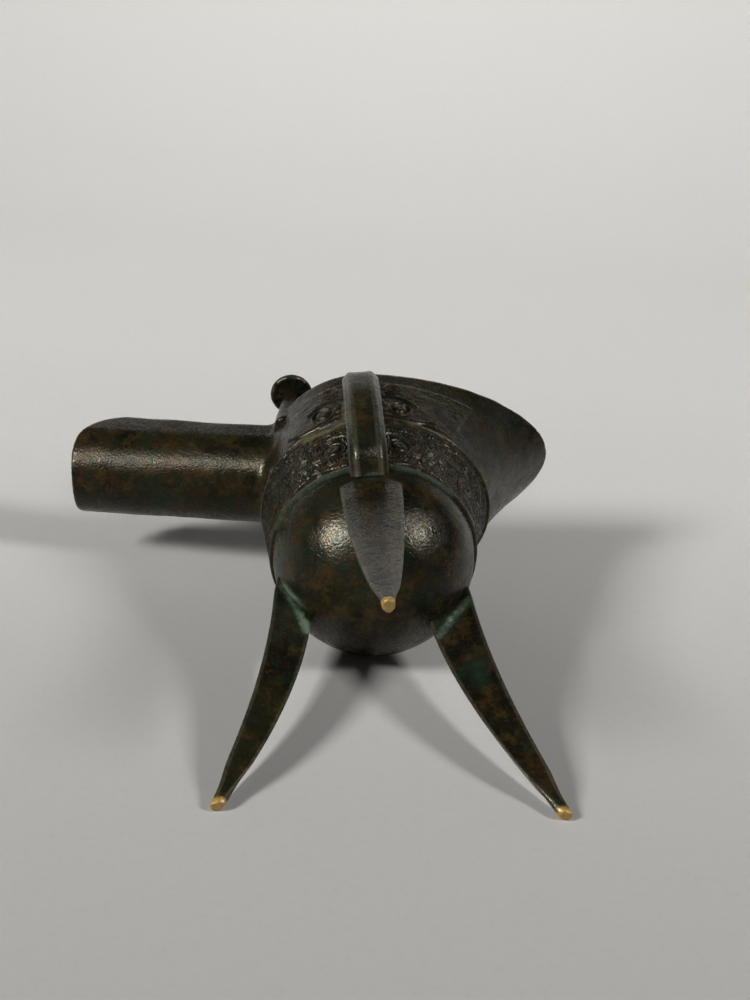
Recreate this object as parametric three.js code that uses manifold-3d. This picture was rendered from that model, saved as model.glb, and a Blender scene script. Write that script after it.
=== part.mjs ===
// A bronze jue: a spouted cup for warming wine, cast in one piece. A round-bottomed cup stands on three
// splayed blade legs. Its rim runs out into a U-shaped pouring spout (-X) and a pointed tail (+X), two
// capped posts rise where the spout meets the rim, and a strap handle on the -Y side stands over one leg.
// Millimetres, +Z up. The casting is built round the cup's own axis, over the plane that its feet stand
// on, and is then moved so that the origin is the middle of its footprint.
import * as THREE from "three";
import { mergeVertices } from "three/addons/utils/BufferGeometryUtils.js";
import Module from "manifold-3d";

const wasm = await Module();
wasm.setup();

// The cup: a round bottom below the ridge line, a decorated belly above it, and a flaring neck.
const WALL = 2.6; // bronze, measured across the wall
const BELLY_RADIUS = 31; // at the ridge line
const RIDGE_Z = 93; // height of the ridge line over the feet
const BOTTOM_DEPTH = 30; // from the ridge line down to the lowest point of the round bottom
const BELLY_BULGE = 1.6; // the belly stands out this much half way up, and more or less at its two ends:
const FRONT_BULGE = 2.6;
const BACK_BULGE = 0.8;
const RIM_Z = 152.5; // the rim at its lowest, beside the handle
const RIM_HALF_WIDTH = 35.5; // across the cup, at the rim
const FRONT_REACH = 33.5; // from the axis to the rim under the spout
const NECK_POWER = 2.6; // how late the neck starts to flare: 1 is a straight cone

// The tail, which the rim rises to.
const TAIL_REACH = 66.5; // from the axis to the tip
const TAIL_TIP_Z = 160;
const TAIL_POWER = 1.8; // how late the wall runs out into the tail
const TAIL_FULLNESS = 1.8; // outline of the tail seen from above: 1 is a straight-sided point, 2 an ellipse

// The spout: a U-shaped gutter whose lip is cut back in a curve.
const SPOUT_REACH = 99; // from the axis to the lip
const SPOUT_HALF_WIDTH = 16; // outside, at the root
const SPOUT_LIP_HALF_WIDTH = 15.4; // outside, at the lip
const SPOUT_ROOT_X = 28; // distance from the axis where the spout's underside meets the cup
const SPOUT_ROOT_FLOOR_Z = 130; // underside, at the root
const SPOUT_LIP_FLOOR_Z = 140.5; // underside, at the lip
const SPOUT_LIP_RIM_Z = 164; // top edge, where the lip starts to round off
const SPOUT_LIP_ROUNDING = 21; // how far the lip is cut back at its top edge
const SPOUT_LIP_FULLNESS = 1.6; // outline of the lip from the side: 1 is a straight cut, 2 an ellipse
const RIM_SAG_POWER = 1.8; // how late the rim turns up towards spout and tail

// The legs: blades of three sides, with a broad outer face that narrows to the foot and a ridge inside.
const LEG_TOP_Z = 90;
const LEG_SPLAY_POWER = 2.1; // how late the leg turns outwards: 1 is straight
const LEG_ROOT_WIDTH = 18.5;
const LEG_FOOT_WIDTH = 4;
const LEG_TAPER_POWER = 1.55; // over 1, the leg keeps its breadth longer
const LEG_FOOT_DEPTH = 5.2;
const LEG_DEPTH_POWER = 3; // over 1, the leg keeps its depth longer
const LEG_EDGE = 1.3; // width of the worn flat on each of the leg's three edges
// Each leg's bearing round the axis, how deep its outer face starts inside the belly's width, how far out
// that face is at the foot, and the leg's depth at the root. They were set by hand, and no two are alike.
const LEGS = [
  { bearing: 266.7, sunk: 1.4, reach: 45.2, depth: 10 },
  { bearing: 160.6, sunk: 2.2, reach: 49, depth: 9.4 },
  { bearing: 26.8, sunk: 3.8, reach: 51.6, depth: 12.2 },
];

// The strap handle, with a flat outer face and broad sloping edges.
const HANDLE_BEARING = 266.6; // round the axis, the same way as the leg under it
const HANDLE_LOW_Z = 87; // where it springs from the belly, over the leg
const HANDLE_HIGH_Z = 141; // where it comes back to the neck
const HANDLE_GAP = 9.4; // from the belly's width to the strap's inner face
const HANDLE_WIDTH = 12;
const HANDLE_FACE_WIDTH = 7.6;
const HANDLE_THICKNESS = 4;

// The two posts and their caps.
const POST_OVERLAP = 1; // how far its foot grows into the spout's wall beside it
const POST_LEAN = [2.5, 0.2]; // its cap stands this much further back, and this much nearer the middle
const POST_FOOT_RADIUS = 3.4;
const POST_TOP_RADIUS = 2.4;
const POST_CAP_RADIUS = 7.4;
const POST_CAP_Z = 173; // underside of the cap
const POST_CAP_HEIGHT = 8.5;
const POST_BUTTON_RADIUS = 1.7;

// The relief: two border lines round the belly, with the mask's round eyes and horns between them.
const LINE_HEIGHT = 0.8;
const LINE_WIDTH = 1.4;
const BAND_TOP_Z = 120.5;
const EYE_RADIUS = 2.9;
const EYE_HEIGHT = 1.3;
// The eyes' heights and their bearings off the handle, and off the same place across the cup, on each side.
const EYES = [
  { off: 18, z: 105 },
  { off: 22, z: 129 },
];
// The scrolls beside the eyes: where each one's coil is, and how big. A long scroll trails off to the side.
const SCROLL_RIB = 1.1; // half the width of the raised rib
const SCROLL_HEIGHT = 1.1;
const SCROLL_TURNS = 1.25;
const SCROLLS = [
  { off: 37, z: 102, size: 5, trail: 9 },
  { off: 40, z: 114, size: 3.8, trail: 12 },
  { off: 66, z: 106.5, size: 5.2, trail: 8 },
];

// How finely the curves are cut into flats.
const ROUND_STEPS = 56;
const CUP_RINGS = 22;
const CAVITY_RINGS = 12;
const SPOUT_STEPS = 12;
const SPOUT_RINGS = 4;
const RIM_STEPS = 30;
const SCROLL_STEPS = 9;
const LEG_STEPS = 11;
const HANDLE_STEPS = 16;
const POST_SIDES = 16;
const SLIVER = 0.02;
const CUT_ABOVE = 22; // the raw cup and spout run this far past the rim before the rim is cut

const lerp = (a, b, t) => a + (b - a) * t;
const radians = THREE.MathUtils.degToRad;

// A closed surface through a stack of rings with the same number of points each. The points run
// anticlockwise seen from the last ring, and each end is closed with a fan.
function loft(rings) {
  const sides = rings[0].length;
  const points = rings.flat();
  const faces = [];
  for (let k = 0; k + 1 < rings.length; k++)
    for (let i = 0; i < sides; i++) {
      const j = (i + 1) % sides;
      const [a, b, c, d] = [k * sides + i, k * sides + j, (k + 1) * sides + j, (k + 1) * sides + i];
      faces.push(a, b, c, a, c, d);
    }
  for (const [ring, flip] of [
    [0, true],
    [rings.length - 1, false],
  ]) {
    const centre = rings[ring]
      .reduce((sum, p) => sum.add(p), new THREE.Vector3())
      .divideScalar(sides);
    const hub = points.push(centre) - 1;
    for (let i = 0; i < sides; i++) {
      const [a, b] = [ring * sides + i, ring * sides + ((i + 1) % sides)];
      faces.push(...(flip ? [b, a, hub] : [a, b, hub]));
    }
  }
  return new THREE.BufferGeometry().setFromPoints(points).setIndex(faces);
}

// Turns a closed geometry into a solid that can be joined and cut.
function solid(geometry) {
  const bare = geometry.clone();
  bare.deleteAttribute("normal");
  bare.deleteAttribute("uv");
  const merged = mergeVertices(bare, 1e-4);
  return new wasm.Manifold(
    new wasm.Mesh({
      numProp: 3,
      vertProperties: merged.attributes.position.array,
      triVerts: new Uint32Array(merged.index.array),
    }),
  );
}

// Turns a solid back into a geometry. Slivers finer than the given size, where curves meet, are closed up.
function geometryOf(shape, sliver) {
  const mesh = shape.simplify(sliver).getMesh();
  const geometry = new THREE.BufferGeometry();
  geometry.setAttribute("position", new THREE.BufferAttribute(mesh.vertProperties, 3));
  geometry.setIndex(new THREE.BufferAttribute(mesh.triVerts, 1));
  return geometry.toNonIndexed();
}

// Share of the way from the ridge line up to the rim.
const neckShare = (z) => Math.max(0, (z - RIDGE_Z) / (RIM_Z - RIDGE_Z));

// The half-breadth of the cup's outside at a height, where the rim is `rim` from the axis.
function wallReach(z, rim, power, bulge) {
  if (z <= RIDGE_Z) {
    const drop = Math.min(1, (RIDGE_Z - z) / BOTTOM_DEPTH);
    return BELLY_RADIUS * Math.sqrt(1 - drop * drop);
  }
  const share = neckShare(z);
  const swell = bulge * Math.sin(Math.PI * Math.min(1, share));
  return BELLY_RADIUS + swell + (rim - BELLY_RADIUS) * share ** power;
}

// The tail's reach is stated at the tip, which is higher than the rim's lowest point.
const tailRim = BELLY_RADIUS + (TAIL_REACH - BELLY_RADIUS) / neckShare(TAIL_TIP_Z) ** TAIL_POWER;

// A point of the cup's outside, at an angle round the axis from the tail and at a height.
function cupPoint(angle, z) {
  const [c, s] = [Math.cos(angle), Math.sin(angle)];
  const y = wallReach(z, RIM_HALF_WIDTH, NECK_POWER, BELLY_BULGE);
  if (c < 0)
    return new THREE.Vector3(wallReach(z, FRONT_REACH, NECK_POWER, FRONT_BULGE) * c, y * s, z);
  const exponent = 2 / lerp(2, TAIL_FULLNESS, Math.min(1, neckShare(z)));
  const x = wallReach(z, tailRim, TAIL_POWER, BACK_BULGE);
  return new THREE.Vector3(x * c ** exponent, y * Math.sign(s) * Math.abs(s) ** exponent, z);
}

// The outward normal of the cup there, by small steps along the surface.
function cupNormal(angle, z) {
  const step = 1e-3;
  const round = cupPoint(angle + step, z).sub(cupPoint(angle - step, z));
  const up = cupPoint(angle, z + step).sub(cupPoint(angle, z - step));
  return round.cross(up).normalize();
}

// Heights from just over the lowest point of the bottom up past the rim, closer together in the round
// bottom. Each comes with how far the surface is lifted there: the border lines are four rings each.
function cupRings(count, lines) {
  const inBottom = Math.round(count * 0.4);
  const top = RIM_Z + CUT_ABOVE;
  const rings = [];
  for (let k = 1; k <= inBottom; k++)
    rings.push([RIDGE_Z - BOTTOM_DEPTH * Math.cos((k / inBottom) * (Math.PI / 2)), 0]);
  for (let k = 1; k <= count - inBottom; k++)
    rings.push([lerp(RIDGE_Z, top, k / (count - inBottom)), 0]);
  for (const z of lines) {
    const near = rings.findIndex(([height]) => Math.abs(height - z) < LINE_WIDTH);
    if (near >= 0) rings.splice(near, 1);
    for (const [offset, lift] of [
      [-1 / 2, 0],
      [-1 / 5, LINE_HEIGHT],
      [1 / 5, LINE_HEIGHT],
      [1 / 2, 0],
    ])
      rings.push([z + offset * LINE_WIDTH, lift]);
  }
  return rings.sort((a, b) => a[0] - b[0]);
}

// The cup's outside with its border lines, or with an inset its plain cavity: each point goes in or out
// square to the wall.
function cup(inset, rings) {
  const angles = Array.from({ length: ROUND_STEPS }, (_, i) => (i / ROUND_STEPS) * 2 * Math.PI);
  const lines = inset ? [] : [RIDGE_Z, BAND_TOP_Z];
  return solid(
    loft(
      cupRings(rings, lines).map(([z, lift]) =>
        angles.map((a) => cupPoint(a, z).addScaledVector(cupNormal(a, z), lift - inset)),
      ),
    ),
  );
}

// The spout's underside at a distance from the axis.
function spoutFloor(distance) {
  const share = (distance - SPOUT_ROOT_X) / (SPOUT_REACH - SPOUT_ROOT_X);
  return lerp(SPOUT_ROOT_FLOOR_Z, SPOUT_LIP_FLOOR_Z, share);
}

// The spout as a solid U, open upwards past the rim. The inset makes its cavity, which runs past the lip.
function spout(inset) {
  const start = SPOUT_ROOT_X - 14;
  const end = SPOUT_REACH + (inset ? 5 : 0);
  const top = SPOUT_LIP_RIM_Z + CUT_ABOVE;
  const rings = [];
  for (let k = 0; k <= SPOUT_RINGS; k++) {
    const distance = lerp(start, end, k / SPOUT_RINGS);
    const share = distance / SPOUT_REACH;
    const half = lerp(SPOUT_HALF_WIDTH, SPOUT_LIP_HALF_WIDTH, share) - inset;
    const floor = spoutFloor(distance) + inset;
    const ring = [new THREE.Vector3(-distance, -half, top)];
    for (let i = 0; i <= SPOUT_STEPS; i++) {
      const turn = Math.PI * (1 + i / SPOUT_STEPS);
      ring.push(
        new THREE.Vector3(-distance, half * Math.cos(turn), floor + half * (1 + Math.sin(turn))),
      );
    }
    ring.push(new THREE.Vector3(-distance, half, top));
    rings.push(ring.reverse());
  }
  return solid(loft(rings));
}

// The height of the rim's edge, seen from the side.
function rimHeight(x) {
  const reach = x > 0 ? TAIL_REACH : SPOUT_REACH - SPOUT_LIP_ROUNDING;
  const rise = (x > 0 ? TAIL_TIP_Z : SPOUT_LIP_RIM_Z) - RIM_Z;
  return RIM_Z + rise * (Math.abs(x) / reach) ** RIM_SAG_POWER;
}

// Everything above the rim and in front of the lip, seen from the side, which is cut away.
function aboveRim() {
  const far = 4 * TAIL_REACH;
  const outline = new THREE.Shape();
  const lipX = -(SPOUT_REACH - SPOUT_LIP_ROUNDING);
  outline.moveTo(far, RIM_Z + far);
  outline.lineTo(-far, RIM_Z + far);
  outline.lineTo(-far, SPOUT_LIP_FLOOR_Z);
  outline.lineTo(-SPOUT_REACH, SPOUT_LIP_FLOOR_Z);
  for (let k = 1; k <= SPOUT_STEPS; k++) {
    const turn = (k / SPOUT_STEPS) * (Math.PI / 2);
    outline.lineTo(
      lipX - SPOUT_LIP_ROUNDING * Math.cos(turn) ** (2 / SPOUT_LIP_FULLNESS),
      lerp(SPOUT_LIP_FLOOR_Z, SPOUT_LIP_RIM_Z, Math.sin(turn) ** (2 / SPOUT_LIP_FULLNESS)),
    );
  }
  for (let k = 1; k <= RIM_STEPS; k++) {
    const x = lerp(lipX, TAIL_REACH * 1.3, k / RIM_STEPS);
    outline.lineTo(x, rimHeight(x));
  }
  outline.lineTo(far, rimHeight(TAIL_REACH * 1.3));
  const depth = 4 * RIM_HALF_WIDTH;
  const slab = new THREE.ExtrudeGeometry(outline, { depth, bevelEnabled: false });
  slab.rotateX(Math.PI / 2);
  slab.translate(0, depth / 2, 0);
  return solid(slab);
}

// A leg: three-sided sections, each with its edges worn flat, down from the belly to the foot.
function leg({ bearing, sunk, reach, depth }) {
  const out = new THREE.Vector3(Math.cos(radians(bearing)), Math.sin(radians(bearing)), 0);
  const side = new THREE.Vector3(-out.y, out.x, 0);
  const rings = [];
  for (let k = 0; k <= LEG_STEPS; k++) {
    const down = 1 - k / LEG_STEPS;
    const face = lerp(BELLY_RADIUS - sunk, reach, down ** LEG_SPLAY_POWER);
    const half = lerp(LEG_ROOT_WIDTH, LEG_FOOT_WIDTH, down ** LEG_TAPER_POWER) / 2;
    const deep = lerp(depth, LEG_FOOT_DEPTH, down ** LEG_DEPTH_POWER);
    const edge = LEG_EDGE / 2;
    const corner = (outwards, sideways) =>
      out
        .clone()
        .multiplyScalar(outwards)
        .addScaledVector(side, sideways)
        .setZ(LEG_TOP_Z * (1 - down));
    rings.push([
      corner(face, -half + edge),
      corner(face, half - edge),
      corner(face - edge, half),
      corner(face - 2 * edge, half),
      corner(face - deep, edge),
      corner(face - deep, -edge),
      corner(face - 2 * edge, -half),
      corner(face - edge, -half),
    ]);
  }
  return solid(loft(rings));
}

// The strap handle: a flat bar with sloping edges, bent out from the belly and back to the neck.
function handle() {
  const lowFoot = BELLY_RADIUS - WALL / 2;
  const highFoot = wallReach(HANDLE_HIGH_Z, RIM_HALF_WIDTH, NECK_POWER, BELLY_BULGE) - WALL / 2;
  const mid = BELLY_RADIUS + HANDLE_GAP + HANDLE_THICKNESS / 2;
  const rise = HANDLE_HIGH_Z - HANDLE_LOW_Z;
  const path = new THREE.CatmullRomCurve3(
    [
      [lowFoot, HANDLE_LOW_Z + HANDLE_THICKNESS / 2],
      [lerp(lowFoot, mid, 0.55), HANDLE_LOW_Z + rise * 0.12],
      [lerp(lowFoot, mid, 0.88), HANDLE_LOW_Z + rise * 0.4],
      [mid, HANDLE_LOW_Z + rise * 0.7],
      [lerp(highFoot, mid, 0.8), HANDLE_LOW_Z + rise * 0.92],
      [highFoot, HANDLE_HIGH_Z],
    ].map(([radius, z]) => new THREE.Vector3(radius, 0, z)),
    false,
    "centripetal",
  );
  const [w, f, t] = [HANDLE_WIDTH / 2, HANDLE_FACE_WIDTH / 2, HANDLE_THICKNESS / 2];
  const section = [
    [-f, t],
    [-w, -t / 4],
    [-w * 0.92, -t],
    [w * 0.92, -t],
    [w, -t / 4],
    [f, t],
  ];
  const rings = [];
  for (let k = 0; k <= HANDLE_STEPS; k++) {
    const at = path.getPointAt(k / HANDLE_STEPS);
    const along = path.getTangentAt(k / HANDLE_STEPS);
    const outwards = new THREE.Vector3(along.z, 0, -along.x);
    rings.push(
      section.map(([across, thick]) =>
        at
          .clone()
          .addScaledVector(outwards, thick)
          .add(new THREE.Vector3(0, across, 0)),
      ),
    );
  }
  return solid(loft(rings).rotateZ(radians(HANDLE_BEARING)));
}

// A post on the rim, which leans inwards a little, with its round cap and the button on top.
function post(hand) {
  const aside = SPOUT_HALF_WIDTH + POST_FOOT_RADIUS - POST_OVERLAP;
  const angle = Math.PI - hand * Math.asin(aside / (RIM_HALF_WIDTH - WALL / 2));
  const foot = cupPoint(angle, RIM_Z).addScaledVector(cupNormal(angle, RIM_Z), -WALL / 2);
  const top = foot.clone().add(new THREE.Vector3(POST_LEAN[0], -hand * POST_LEAN[1], 0));
  const rings = [
    [0, POST_FOOT_RADIUS],
    [1, POST_TOP_RADIUS],
  ].map(([up, radius]) =>
    Array.from({ length: POST_SIDES }, (_, i) => {
      const turn = (i / POST_SIDES) * 2 * Math.PI;
      return new THREE.Vector3(
        lerp(foot.x, top.x, up) + radius * Math.cos(turn),
        lerp(foot.y, top.y, up) + radius * Math.sin(turn),
        lerp(RIM_Z - 2 * WALL, POST_CAP_Z + POST_CAP_HEIGHT / 4, up),
      );
    }),
  );
  const outline = [
    [0, 0],
    [0.86, -0.05],
    [1, 0.1],
    [0.88, 0.42],
    [0.5, 0.78],
    [POST_BUTTON_RADIUS / POST_CAP_RADIUS, 0.86],
    [(0.7 * POST_BUTTON_RADIUS) / POST_CAP_RADIUS, 1],
    [0, 1],
  ].map(([x, y]) => new THREE.Vector2(x * POST_CAP_RADIUS, POST_CAP_Z + y * POST_CAP_HEIGHT));
  const cap = new THREE.LatheGeometry(outline, POST_SIDES);
  cap.rotateX(Math.PI / 2);
  cap.translate(top.x, top.y, 0);
  return solid(loft(rings)).add(solid(cap));
}

// A round eye of the mask: a low dome standing square to the belly.
function eye(bearing, z) {
  const angle = radians(bearing);
  const dome = new THREE.SphereGeometry(1, 10, 5);
  dome.scale(EYE_RADIUS, EYE_RADIUS, EYE_HEIGHT * 1.3);
  const square = new THREE.Quaternion();
  square.setFromUnitVectors(new THREE.Vector3(0, 0, 1), cupNormal(angle, z));
  dome.applyQuaternion(square);
  const at = cupPoint(angle, z);
  dome.translate(at.x, at.y, at.z);
  return solid(dome);
}

// A scroll of the mask: a raised rib that coils in on itself, with a straight trail away from its eye.
function scroll(side, hand, { off, z, size, trail }) {
  const path = [];
  path.push([trail, -size]);
  path.push([trail / 2, -size * 1.08]);
  for (let k = 0; k <= SCROLL_STEPS; k++) {
    const turn = (k / SCROLL_STEPS) * SCROLL_TURNS * 2 * Math.PI;
    const radius = lerp(size, SCROLL_RIB * 1.6, k / SCROLL_STEPS);
    path.push([-radius * Math.sin(turn), -radius * Math.cos(turn)]);
  }
  const spot = ([along, up]) => {
    const angle = radians(side + hand * off) + (hand * along) / (BELLY_RADIUS + BELLY_BULGE);
    return [angle, z + up];
  };
  const rings = path.map((at, k) => {
    const [before, after] = [path[Math.max(0, k - 1)], path[Math.min(path.length - 1, k + 1)]];
    const [dx, dy] = [after[0] - before[0], after[1] - before[1]];
    const length = Math.hypot(dx, dy);
    const across = [(-dy / length) * SCROLL_RIB, (dx / length) * SCROLL_RIB];
    return [
      [-1, -WALL / 3],
      [1, -WALL / 3],
      [0.5, SCROLL_HEIGHT],
      [-0.5, SCROLL_HEIGHT],
    ].map(([share, lift]) => {
      const [angle, height] = spot([at[0] + share * across[0], at[1] + share * across[1]]);
      return cupPoint(angle, height).addScaledVector(cupNormal(angle, height), lift);
    });
  });
  if (hand < 0) rings.forEach((ring) => ring.reverse());
  return solid(loft(rings));
}

// Two masks, one under the handle and one across the cup from it.
function masks() {
  const pieces = [];
  for (const side of [HANDLE_BEARING, HANDLE_BEARING - 180])
    for (const hand of [-1, 1]) {
      for (const { off, z } of EYES) pieces.push(eye(side + hand * off, z));
      for (const each of SCROLLS) pieces.push(scroll(side, hand, each));
    }
  return pieces;
}

// The whole casting: outsides joined first, then the cavity and everything above the rim cut away, and
// the posts set on the rim.
function vessel() {
  const join = (whole, piece) => whole.add(piece);
  const outside = [cup(0, CUP_RINGS), spout(0), ...LEGS.map(leg), ...masks(), handle()].reduce(join);
  const hollow = [cup(WALL, CAVITY_RINGS), spout(WALL), aboveRim()].reduce(join);
  return [outside.subtract(hollow), post(-1), post(1)].reduce(join);
}

const bronze = new THREE.MeshStandardMaterial({ color: 0x39342b, roughness: 0.42, metalness: 0.7 });
const jue = new THREE.Mesh(geometryOf(vessel(), SLIVER), bronze);
jue.name = "jue_vessel";

const footprint = new THREE.Box3().setFromObject(jue);
jue.position.set(
  -(footprint.min.x + footprint.max.x) / 2,
  -(footprint.min.y + footprint.max.y) / 2,
  -footprint.min.z,
);

const group = new THREE.Group();
group.add(jue);
export default group;
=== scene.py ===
"""A small bronze jue, lying on its side with its handle up and its three legs towards the camera.

Every length in the classes below is in millimetres, in the casting's own frame: the cup's axis is the Z axis, the
feet stand on z = 0, the spout runs out along -X, the tail along +X and the handle stands on the -Y side. `to_row`
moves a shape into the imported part's frame, in metres.
"""

import logging
from dataclasses import dataclass, field
from enum import Enum
from functools import partial
from typing import Callable, Sequence

import bpy
import numpy as np
from mathutils import Matrix, Vector


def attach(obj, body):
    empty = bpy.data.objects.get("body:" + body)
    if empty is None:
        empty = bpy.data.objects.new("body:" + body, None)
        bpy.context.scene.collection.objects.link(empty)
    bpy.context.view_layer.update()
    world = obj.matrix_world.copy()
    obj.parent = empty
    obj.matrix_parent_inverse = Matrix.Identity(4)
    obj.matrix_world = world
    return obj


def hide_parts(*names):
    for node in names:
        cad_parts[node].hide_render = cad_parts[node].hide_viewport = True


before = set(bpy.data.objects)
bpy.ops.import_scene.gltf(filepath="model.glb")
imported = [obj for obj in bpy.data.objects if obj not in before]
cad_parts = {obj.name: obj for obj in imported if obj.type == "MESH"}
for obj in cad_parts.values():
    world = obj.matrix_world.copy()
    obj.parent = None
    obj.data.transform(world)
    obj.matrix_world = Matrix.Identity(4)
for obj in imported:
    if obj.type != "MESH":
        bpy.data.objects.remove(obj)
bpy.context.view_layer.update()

log = logging.getLogger("jue")
logging.basicConfig(level=logging.INFO, format="%(message)s")

Array = np.ndarray

BODY = "root"
NODE = "jue_vessel"
AXIS_MM = np.array([16.215, 4.771, 0.0])  # where the cup's axis meets the ground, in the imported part's frame
HANDLE_BEARING = 266.6  # degrees round the axis from the tail; both masks have their middle here


# ------------------------------------------------------------------------------------------------ small helpers


def to_row(points: Array) -> Array:
    """Points in the casting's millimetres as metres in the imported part's frame.

    Args:
        points: Array of shape (..., 3).

    Returns:
        An array of the same shape.
    """
    return (points + AXIS_MM) / 1000.0


def mix(a: float | Array, b: float | Array, share: float | Array) -> float | Array:
    """The value that lies the given share of the way from a to b."""
    return a + (b - a) * share


def smooth_step(low: float, high: float, value: Array) -> Array:
    """0 at low, 1 at high, and 3t^2 - 2t^3 between them, where t is the share of the way."""
    share = np.clip((value - low) / (high - low), 0.0, 1.0)
    return share * share * (3.0 - 2.0 * share)


def blend_join(a: Array, b: Array, fillet: float) -> Array:
    """Joins two distance fields: their minimum, rounded with a parabola over the fillet where they are alike."""
    share = np.clip(0.5 + 0.5 * (b - a) / fillet, 0.0, 1.0)
    return mix(b, a, share) - fillet * share * (1.0 - share)


def blend_keep(a: Array, b: Array, fillet: float) -> Array:
    """What two distance fields have in common: their maximum, with its edge rounded over the fillet."""
    return -blend_join(-a, -b, fillet)


def value_noise(points: Array, size: float, seed: int) -> Array:
    """Smooth noise from -1 to 1: seeded random values on a cubic lattice, blended between its corners.

    Args:
        points: Array of shape (n, 3), in millimetres.
        size: Distance between lattice points.
        seed: Seed of the random values.

    Returns:
        An array of n values.
    """
    table = np.random.default_rng(seed).uniform(-1.0, 1.0, (64, 64, 64))
    cell = np.floor(points / size).astype(int)
    share = points / size - cell
    share = share * share * (3.0 - 2.0 * share)
    total = np.zeros(len(points))
    for corner in np.ndindex(2, 2, 2):
        weight = np.prod(np.where(np.array(corner) == 1, share, 1.0 - share), axis=1)
        index = (cell + np.array(corner)) % 64
        total += weight * table[index[:, 0], index[:, 1], index[:, 2]]
    return total


def make_mesh(
    name: str, points: Array, faces: Array | Sequence[Sequence[int]], attributes: dict[str, Array] | None = None
) -> bpy.types.Object:
    """Makes a smooth-shaded mesh object that sits at the origin, with its place in its mesh.

    Args:
        name: The piece's name.
        points: Array of shape (n, 3), in the casting's millimetres.
        faces: Quads or triangles, anticlockwise from outside.
        attributes: Named numbers per point, for the finish.

    Returns:
        The new object, linked to the scene.
    """
    mesh = bpy.data.meshes.new(name)
    mesh.from_pydata(to_row(points).tolist(), [], [list(map(int, f)) for f in faces])
    mesh.shade_smooth()
    for key, values in (attributes or {}).items():
        mesh.attributes.new(key, "FLOAT", "POINT").data.foreach_set("value", np.asarray(values, np.float32))
    mesh.update()
    piece = bpy.data.objects.new(name, mesh)
    bpy.context.scene.collection.objects.link(piece)
    return piece


def round_corners(corners: Array, cut: float | Array, arc: int = 5, flat: int = 6) -> Array:
    """Closed outlines with their corners rounded: each corner becomes a quadratic curve between its two cut points.

    Args:
        corners: Array of shape (rings, k, 2), in order round the outline.
        cut: How far from the corner the curve starts and ends.
        arc: Points on each rounded corner.
        flat: Points between the corners, on each side.

    Returns:
        Array of shape (rings, k * (arc + flat), 2).
    """
    after = np.roll(corners, -1, axis=1) - corners
    length = np.linalg.norm(after, axis=2, keepdims=True)
    step = after / length * np.minimum(cut, 0.45 * length)
    leave, arrive = corners + step, corners - np.roll(step, 1, axis=1)
    t = np.linspace(0.0, 1.0, arc)[None, None, :, None]
    bend = (1 - t) ** 2 * arrive[:, :, None] + 2 * t * (1 - t) * corners[:, :, None] + t**2 * leave[:, :, None]
    t = np.linspace(0.0, 1.0, flat + 2)[1:-1][None, None, :, None]
    side = mix(leave[:, :, None], np.roll(arrive, -1, axis=1)[:, :, None], t)
    return np.concatenate([bend, side], axis=2).reshape(len(corners), -1, 2)


def tube_faces(rings: int, sides: int) -> list[list[int]]:
    """Quads between closed rings that follow each other, and a fan of triangles over each end's middle point.

    Args:
        rings: Number of rings. Their points come first, ring by ring, then the first end's middle, then the last's.
        sides: Points on each ring, anticlockwise seen from the last ring.

    Returns:
        The faces.
    """
    i, k = np.meshgrid(np.arange(sides), np.arange(rings - 1))
    j = (i + 1) % sides
    quads = np.stack([k * sides + i, k * sides + j, (k + 1) * sides + j, (k + 1) * sides + i], -1).reshape(-1, 4)
    i, j = np.arange(sides), (np.arange(sides) + 1) % sides
    last, hub = (rings - 1) * sides, rings * sides
    low = np.stack([j, i, np.full(sides, hub)], -1)
    high = np.stack([last + i, last + j, np.full(sides, hub + 1)], -1)
    return [*quads.tolist(), *low.tolist(), *high.tolist()]


def tube(name: str, rings: Array, edges: Array) -> bpy.types.Object:
    """Makes a closed piece from rings of points, with a fan over each end.

    Args:
        name: The piece's name.
        rings: Array of shape (rings, sides, 3), each ring anticlockwise seen from the last.
        edges: How much each point is a raised edge, of shape (rings, sides) or (sides,).

    Returns:
        The new object.
    """
    points = np.vstack([rings.reshape(-1, 3), rings[0].mean(0), rings[-1].mean(0)])
    raised = np.append(np.broadcast_to(edges, rings.shape[:2]).ravel(), [0.5, 0.5])
    return make_mesh(name, points, tube_faces(*rings.shape[:2]), Patina().marks(points, raised, 0.0 * raised))


# ------------------------------------------------------------------------------------------------ the casting's form


class Mark(Enum):
    """The numbers from 0 to 1 that a piece's points carry for the finish to read."""

    RAISED = "raised"
    SUNK = "sunk"
    VERDIGRIS = "verdigris"
    EARTH = "earth"
    BARED = "bared"


@dataclass(frozen=True)
class Patch:
    """A place where the patina differs: a soft-edged ellipsoid, with its centre, its half-axes and its strength."""

    centre: tuple[float, float, float]
    half_axes: tuple[float, float, float]
    strength: float = 1.0

    def amount(self, p: Array) -> Array:
        """Its strength in the middle, falling to 0 as a Gauss curve of the distance in half-axes."""
        away = np.sum(((p - np.array(self.centre)) / np.array(self.half_axes)) ** 2, axis=-1)
        return self.strength * np.exp(-away)


@dataclass(frozen=True)
class Streak:
    """A line along which the patina differs: its corners, how far to each side it reaches, and its strength."""

    line: tuple[tuple[float, float, float], ...]
    reach: float
    strength: float = 1.0

    def amount(self, p: Array) -> Array:
        """Its strength on the line, falling to 0 as a Gauss curve of the distance from it over its reach.

        Args:
            p: Points of shape (n, 3), in the casting's millimetres.

        Returns:
            An array of n amounts.
        """
        nearest = np.full(len(p), np.inf)
        for start, end in zip(np.array(self.line), np.array(self.line)[1:]):
            run = end - start
            share = np.clip((p - start) @ run / (run @ run), 0.0, 1.0)
            nearest = np.minimum(nearest, np.linalg.norm(p - start - share[:, None] * run, axis=1))
        return self.strength * np.exp(-((nearest / self.reach) ** 2))


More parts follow.
